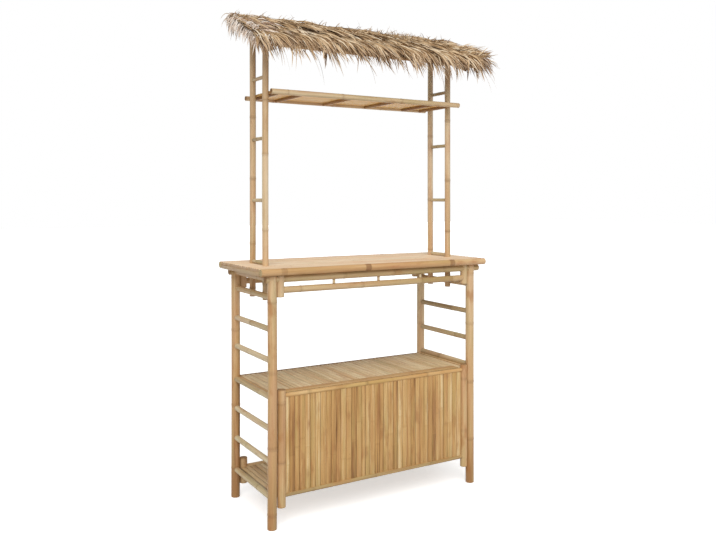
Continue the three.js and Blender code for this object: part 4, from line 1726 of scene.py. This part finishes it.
    def _straight(self, root: np.ndarray, ahead: np.ndarray, lift: np.ndarray) -> np.ndarray:
        """Find places that go straight on from roots on the outer line.

        Args:
            root: Where each strand starts along the line.
            ahead: How far each ring is from its root.
            lift: How far out each ring is.

        Returns:
            The Y and Z places.
        """
        nudge = 8 * MM
        level = np.zeros_like(root)
        first, second = (self.top_line.at(root + step, level)[:, None, :] for step in (0.0, nudge))
        way = (second - first) / nudge
        outward = np.stack((way[..., 1], -way[..., 0]), axis=-1)
        return first + way * ahead[..., None] + outward * lift[..., None]

    def _cover(self) -> Strands:
        """Lay the courses over the top and the shoulder."""
        strands = Strands()
        left, right = -self.left_reach, self.right_reach
        for number in range(7):
            low = number * 0.115
            # Each number lays a dark course and a light one over it; the dark course's low tone is painted
            # shade under the light strands
            strands.add(*self._combed(
                count=114, x_range=(left, right - 0.025), run_range=(low, low + 0.14), lengths=(0.08, 0.14),
                headings=(18, 16), lifts=(4 * MM, 3 * MM), widths=(5 * MM, 9 * MM), tuft=3, tone=0.14,
            ))
            strands.add(*self._combed(
                count=88, x_range=(left, right - 0.03), run_range=(low, low + 0.14), lengths=(0.085, 0.15),
                headings=(22 - number, 15), lifts=(13 * MM, 8 * MM), widths=(5.5 * MM, 9.5 * MM),
                tuft=3, tone=0.68,
            ))
        strands.add(*self._combed(
            count=330, x_range=(left, right - 0.05), run_range=(-0.02, 0.3), lengths=(0.06, 0.12),
            headings=(84, 48), lifts=(11 * MM, 8 * MM), widths=(3 * MM, 6.5 * MM), tuft=4, tone=0.62,
        ))
        strands.add(*self._combed(
            count=130, x_range=(right - 0.14, right - 0.05), run_range=(0.1, 0.8), lengths=(0.07, 0.1),
            headings=(66, 70), lifts=(13 * MM, 22 * MM), widths=(5 * MM, 8 * MM), tuft=4, tone=0.6,
            stiff=0.8,
        ))
        strands.add(*self._combed(
            count=130, x_range=(right - 0.09, right - 0.02), run_range=(0.45, 0.9), lengths=(0.055, 0.085),
            headings=(80, 82), lifts=(26 * MM, 48 * MM), widths=(4.5 * MM, 7.5 * MM), tuft=3, tone=0.68,
            stiff=0.95,
        ))
        for count, x_range, sizes, width, tilt in (
            (30, (left, right - 0.08), (0.02, 0.055), 1.5 * MM, 0.35),
            (260, (left + 0.02, right - 0.03), (0.016, 0.036), 3.2 * MM, 1.0),
            (60, (0.1, 0.42), (0.012, 0.03), 2.4 * MM, 0.2),
        ):
            strands.add(*self._spikes(count, x_range, sizes, width, tilt))
        return strands

    def _tones(self, usual: float, spread: float, count: int) -> np.ndarray:
        """Draw a tone for each strand.

        Args:
            usual: The usual tone.
            spread: How much they differ.
            count: How many strands.

        Returns:
            The tones.
        """
        return np.clip(self.draws.normal(usual, spread, count), DARKEST, PALEST)

    def _spikes(
        self, count: int, x_range: Span, sizes: Span, width: float, tilt: float,
    ) -> Course:
        """Stand thin hairs up along the top.

        Args:
            count: How many.
            x_range: Where they stand along the roof.
            sizes: The shortest and longest.
            width: The usual width.
            tilt: How far they usually tilt towards the right end.

        Returns:
            The paths, widths and tones.
        """
        draws = self.draws
        share = self.share
        run = draws.uniform(0.0, 0.3, count) * self.top_line.length
        root = self.top_line.at(run, np.full(count, -self.root_depth))
        size = draws.uniform(*sizes, count)
        lean = draws.normal(tilt, 0.5, count)
        bend = draws.uniform(0.0, 0.5, count) * np.sign(lean)
        x = draws.uniform(*x_range, count)
        paths = np.stack(np.broadcast_arrays(
            x[:, None] + size[:, None] * (np.sin(lean)[:, None] * share + bend[:, None] * share ** 2),
            root[:, :1] + (size * draws.uniform(-0.3, 0.4, count))[:, None] * share,
            root[:, 1:] + (size * np.cos(lean))[:, None] * share * (1.2 - 0.2 * share),
        ), axis=-1)
        widths = width * draws.uniform(0.7, 1.3, count)
        return paths, widths, self._tones(0.4, 0.16, count)

    def _fringe(self) -> Strands:
        """Lay the strands that hang over the front, the tufts and the thin strays."""
        strands = Strands()
        left, right = -self.left_reach, self.right_reach
        # The first course is dark: painted shade under the fringe's light strands
        strands.add(*self._combed(
            count=420, x_range=(left, right - 0.03), run_range=(0.78, 0.94), lengths=(0.055, 0.09),
            headings=(30, 30), lifts=(5 * MM, 4 * MM), widths=(5 * MM, 8.5 * MM), tuft=4, tone=0.26,
            stiff=0.3,
        ))
        strands.add(*self._combed(
            count=410, x_range=(left, right - 0.06), run_range=(0.64, 0.88), lengths=(0.08, 0.125),
            headings=(20, 30), lifts=(13 * MM, 9 * MM), widths=(5.5 * MM, 9 * MM), tuft=5, tone=0.68,
        ))
        strands.add(*self._combed(
            count=270, x_range=(left, right - 0.07), run_range=(0.84, 0.97), lengths=(0.05, 0.09),
            headings=(32, 28), lifts=(11 * MM, 10 * MM), widths=(3.4 * MM, 6.5 * MM), tuft=8, tone=0.66,
            clump=6 * MM, vary=0.35, stiff=0.4,
        ))
        for x, size in self.long_tufts:
            strands.add(*self._combed(
                count=11, x_range=(x - 0.05, x - 0.045), run_range=(0.85, 0.9), lengths=(size * 0.75, size),
                headings=(34, 20), lifts=(12 * MM, 8 * MM), widths=(3.4 * MM, 6.5 * MM), tuft=11, tone=0.66,
                clump=7 * MM, vary=0.05, stiff=0.3,
            ))
        strands.add(*self._combed(
            count=56, x_range=(left, right - 0.05), run_range=(0.86, 0.98), lengths=(0.07, 0.145),
            headings=(44, 22), lifts=(10 * MM, 13 * MM), widths=(1.5 * MM, 2.6 * MM), tuft=2, tone=0.45,
            stiff=0.35,
        ))
        return strands

    def _end_strands(self, count: int, sign: int, outward: float, sizes: Span, usual: float) -> Course:
        """Comb strands outwards and down over one end of the roof.

        Args:
            count: How many strands.
            sign: The end's sign along X.
            outward: How far they reach out, at most.
            sizes: The shortest and longest strand.
            usual: The usual tone.

        Returns:
            The paths, widths and tones.
        """
        draws = self.draws
        share = self.share
        run = draws.uniform(0.0, 1.0, count) * self.top_line.length
        lift = draws.uniform(-self.thickness * 0.95, 6 * MM, count)
        inward = np.abs(draws.normal(0, 0.022, count)) * (lift > -5 * MM)
        root = self.top_line.at(run, lift)
        size = draws.uniform(*sizes, count)
        ahead = draws.uniform(0.1, 0.9, count)
        drop = draws.uniform(-0.15, 0.75, count)
        out = draws.uniform(0.2, 1.0, count) * outward
        reach = self.left_reach if sign < 0 else self.right_reach
        x = sign * (reach - 0.02 - inward)[:, None] + sign * out[:, None] * (share * (1.4 - 0.4 * share))
        y = root[:, :1] - (size * ahead * 0.7)[:, None] * share
        z = root[:, 1:] - size[:, None] * (drop[:, None] * share + 0.4 * share ** 2)
        y = np.maximum(y, self.front - 14 * MM)
        paths = np.stack(np.broadcast_arrays(x, y, z), axis=-1)
        tones = self._tones(usual, self.tone_spread, count)
        return paths, draws.uniform(2.5 * MM, 6 * MM, count), tones

    def _ends(self) -> Strands:
        """Lay the strands of both ends."""
        strands = Strands()
        left = -self.left_reach
        strands.add(*self._end_strands(count=300, sign=-1, outward=0.034, sizes=(0.03, 0.066), usual=0.85))
        strands.add(*self._combed(
            count=60, x_range=(left, left + 0.13), run_range=(0.0, 0.75), lengths=(0.05, 0.1),
            headings=(70, 30), lifts=(15 * MM, 12 * MM), widths=(4 * MM, 7 * MM), tuft=2, tone=0.55,
        ))
        strands.add(*self._end_strands(count=260, sign=1, outward=0.05, sizes=(0.03, 0.065), usual=0.5))
        return strands

    def _edges(self) -> Strands:
        """Lay the strands of the rear edge and the underside."""
        strands = Strands()
        draws = self.draws
        share = self.share
        count = 420
        x = draws.uniform(-self.left_reach, self.right_reach - 0.05, count)
        size = draws.uniform(0.075, 0.125, count)
        lift = draws.uniform(-self.thickness * 0.8, 1 * MM, count)
        root = self.top_line.at(np.full(count, 30 * MM), lift)
        rise = draws.uniform(-0.42, 0.34, count)
        side = draws.uniform(-0.2, 0.9, count)
        paths = np.stack(np.broadcast_arrays(
            x[:, None] + (size * side)[:, None] * share,
            root[:, :1] + (size * 0.72)[:, None] * share * (1.15 - 0.35 * share),
            root[:, 1:] + size[:, None] * (rise[:, None] * share - 0.45 * share ** 2),
        ), axis=-1)
        widths = draws.uniform(2.5 * MM, 6 * MM, count)
        strands.add(paths, widths, self._tones(0.5, self.tone_spread, count))
        count = 420
        y = draws.uniform(self.front + 0.03, self.rear - 0.02, count)
        x = draws.uniform(-self.left_reach, self.right_reach - 0.1, count)
        size = draws.uniform(0.1, 0.2, count)
        turn = draws.uniform(0.2, 1.3, count)
        y_path = y[:, None] - (size * np.cos(turn))[:, None] * share
        y_path = np.maximum(y_path, self.front + 12 * MM)
        z_path = self.under_at_zero + y_path * math.tan(self.slope) + 3 * MM - 7 * MM * np.sin(np.pi * share)
        x_path = x[:, None] + (size * np.sin(turn))[:, None] * share
        paths = np.stack(np.broadcast_arrays(x_path, y_path, z_path), axis=-1)
        widths = draws.uniform(3 * MM, 7 * MM, count)
        strands.add(paths, widths, self._tones(0.35, 0.15, count))
        return strands

    def _sheaf(self, name: str, strands: Strands, finish: Finish) -> None:
        """Turn a sheaf's strands into one mesh.

        Args:
            name: The piece's name.
            strands: Its strands.
            finish: Its finish.
        """
        paths = np.concatenate(strands.paths)
        widths = np.concatenate(strands.widths)
        tones = np.concatenate(strands.tones)
        count = len(paths)
        mesh, copy, ring, corner = self._template(name, count)
        tangent = np.gradient(paths, axis=1)
        tangent /= np.linalg.norm(tangent, axis=2, keepdims=True)
        roll = self.draws.normal(0, self.roll, (count, 1, 1))
        across = np.cross(tangent, np.array(self.outward))
        across /= np.linalg.norm(across, axis=2, keepdims=True)
        raised = np.cross(across, tangent)
        across, raised = (
            across * np.cos(roll) + raised * np.sin(roll),
            raised * np.cos(roll) - across * np.sin(roll),
        )
        share = self.share[0]
        wide = widths[:, None] * np.array(self.taper)[None, :]
        angle = corner * math.tau / self.corners
        offset_across = np.sin(angle + math.pi / 3) / math.sin(math.pi / 3) / 2
        offset_raised = np.cos(angle + math.pi / 3) * self.flatness
        places = (
            paths[copy, ring]
            + across[copy, ring] * (wide[copy, ring] * offset_across)[:, None]
            + raised[copy, ring] * (wide[copy, ring] * offset_raised)[:, None]
        )
        mesh.vertices.foreach_set("co", places.astype(np.float32).ravel())
        lengths = np.linalg.norm(np.diff(paths, axis=1), axis=2).sum(axis=1)
        shift = self.draws.uniform(0, self.grain_range, count)
        grain = np.stack((
            wide[copy, ring] * offset_across + shift[copy],
            wide[copy, ring] * offset_raised,
            share[ring] * lengths[copy] + shift[copy],
        ), axis=-1)
        marks = np.stack((tones[copy], share[ring], np.zeros(len(copy))), axis=-1)
        for label, values in (("grain", grain), ("marks", marks)):
            layer = mesh.attributes.new(label, "FLOAT_VECTOR", "POINT")
            layer.data.foreach_set("vector", values.astype(np.float32).ravel())
        mesh.update()
        settle(mesh, name, finish, ["thatch"])

    def _template(self, name: str, count: int) -> tuple[bpy.types.Mesh, np.ndarray, np.ndarray, np.ndarray]:
        """Make a mesh of equal three-sided strands, one beside the other.

        Args:
            name: The mesh's name.
            count: How many strands.

        Returns:
            The mesh, and each vertex's strand, ring and corner.
        """
        stride = self.stride
        made = bmesh.new()
        bmesh.ops.create_circle(made, cap_ends=True, radius=1.0, segments=self.corners)
        bmesh.ops.spin(
            made, geom=made.verts[:] + made.edges[:] + made.faces[:], cent=(0, 0, 0), axis=(0, 0, 1),
            dvec=(0, 0, 1), angle=0.0, steps=self.rings - 1,
        )
        bmesh.ops.recalc_face_normals(made, faces=made.faces[:])
        copies = 1
        while copies < count:
            more = min(copies, count - copies)
            limit = stride * (more - 0.5)
            verts = [v for v in made.verts if v.co.x < limit]
            edges = [e for e in made.edges if e.verts[0].co.x < limit]
            faces = [f for f in made.faces if f.verts[0].co.x < limit]
            fresh = bmesh.ops.duplicate(made, geom=verts + edges + faces)["geom"]
            moved = [part for part in fresh if isinstance(part, bmesh.types.BMVert)]
            bmesh.ops.translate(made, verts=moved, vec=(stride * copies, 0, 0))
            copies += more
        mesh = bpy.data.meshes.new(name)
        made.to_mesh(mesh)
        made.free()
        places = np.empty(len(mesh.vertices) * 3, dtype=np.float32)
        mesh.vertices.foreach_get("co", places)
        places = places.reshape(-1, 3)
        copy = np.rint(places[:, 0] / stride).astype(int)
        ring = np.rint(places[:, 2]).astype(int)
        angle = np.arctan2(places[:, 0] - copy * stride, places[:, 1])
        corner = np.rint(angle / (math.tau / self.corners)).astype(int) % self.corners
        return mesh, copy, ring, corner


@dataclass
class Studio:
    """A plain white floor and backdrop, soft light, and the camera."""

    camera_place: Triple = (-1.6875, -2.8700, 1.2690)
    camera_heading: float = -30.64
    lens: float = 38.36
    shift_y: float = -0.1007
    floor_size: float = 60.0
    sensor: float = 36.0
    floor_colour: str = "c8c8c8"
    floor_shown: str = "fbfbfb"
    floor_glow: float = 0.5
    sky: float = 0.5
    suns: tuple[tuple[str, float, float, Triple], ...] = (
        ("sun", 1.5, 44.0, (-2.2, -3.6, 4.2)),
        ("fill", 0.75, 80.0, (-1.2, -4.0, -0.1)),
    )

    def build(self) -> None:
        """Build the floor, the world, the lamps and the camera."""
        self._floor()
        self._world()
        for name, strength, width, place in self.suns:
            self._sun(name, strength, width, place)
        self._camera()
        bpy.context.scene.view_settings.view_transform = "Standard"

    def _floor(self) -> None:
        """Build the floor that keeps the shadow and looks white."""
        made = bmesh.new()
        bmesh.ops.create_grid(made, x_segments=2, y_segments=2, size=self.floor_size / 2)
        mesh = bpy.data.meshes.new("floor")
        made.to_mesh(mesh)
        made.free()
        graph = Graph("floor_white")
        colour = hex_colour(self.floor_colour)
        graph.feed({"Base Color": colour, "Roughness": 0.9, "Specular IOR Level": 0.1})
        light = {"Color": hex_colour("ffffff"), "Strength": self.floor_glow}
        glow = graph.node("ShaderNodeEmission", {}, light)
        matt = graph.node("ShaderNodeBsdfDiffuse", {}, {"Color": hex_colour(self.floor_shown)})
        shown = graph.node("ShaderNodeAddShader", {}, {0: glow.outputs[0], 1: matt.outputs[0]})
        graph.blend(graph.seen(), shown.outputs[0])
        mesh.materials.append(graph.material)
        floor = bpy.data.objects.new("floor", mesh)
        bpy.context.scene.collection.objects.link(floor)

    def _world(self) -> None:
        """Make a soft sky that shows as plain white."""
        world = bpy.data.worlds.new("studio")
        bpy.context.scene.world = world
        world.use_nodes = True
        nodes, links = world.node_tree.nodes, world.node_tree.links
        nodes.clear()
        path = nodes.new("ShaderNodeLightPath")
        soft, plain = (nodes.new("ShaderNodeBackground") for _ in range(2))
        for background, strength in ((soft, self.sky), (plain, 1.0)):
            background.inputs["Color"].default_value = (1, 1, 1, 1)
            background.inputs["Strength"].default_value = strength
        mix = nodes.new("ShaderNodeMixShader")
        output = nodes.new("ShaderNodeOutputWorld")
        links.new(path.outputs["Is Camera Ray"], mix.inputs[0])
        links.new(soft.outputs[0], mix.inputs[1])
        links.new(plain.outputs[0], mix.inputs[2])
        links.new(mix.outputs[0], output.inputs[0])

    def _sun(self, name: str, strength: float, width: float, place: Triple) -> None:
        """Add one wide, soft light.

        Args:
            name: Its name.
            strength: Its strength.
            width: The angle that it fills.
            place: Where it shines from, towards the origin.
        """
        data = bpy.data.lights.new(name, "SUN")
        data.angle = math.radians(width)
        data.energy = strength
        lamp = bpy.data.objects.new(name, data)
        lamp.location = place
        lamp.rotation_euler = (-Vector(place)).to_track_quat("-Z", "Y").to_euler()
        bpy.context.scene.collection.objects.link(lamp)

    def _camera(self) -> None:
        """Put the camera where the photograph was taken."""
        data = bpy.data.cameras.new("camera")
        data.lens = self.lens
        data.sensor_fit = "HORIZONTAL"
        data.sensor_width = self.sensor
        data.shift_y = self.shift_y
        camera = bpy.data.objects.new("camera", data)
        camera.location = self.camera_place
        camera.rotation_euler = (math.radians(90), 0, math.radians(self.camera_heading))
        bpy.context.scene.collection.objects.link(camera)
        bpy.context.scene.camera = camera


def clear_start_objects() -> None:
    """Remove the cube, lamp and camera that a new file holds."""
    for name in ("Cube", "Light", "Camera"):
        found = bpy.data.objects.get(name)
        if found is not None:
            bpy.data.objects.remove(found, do_unlink=True)


def main() -> None:
    """Build the hut's sub-assemblies in order, then the studio."""
    logging.basicConfig(level=logging.INFO, format="%(name)s: %(message)s")
    clear_start_objects()
    base = Base()
    base.build()
    Aprons().build(base)
    CounterTop().build()
    Cabinet().build()
    Tower().build()
    RoofFrame().build()
    Thatch().build()
    Studio().build()


if __name__ == "__main__":
    main()
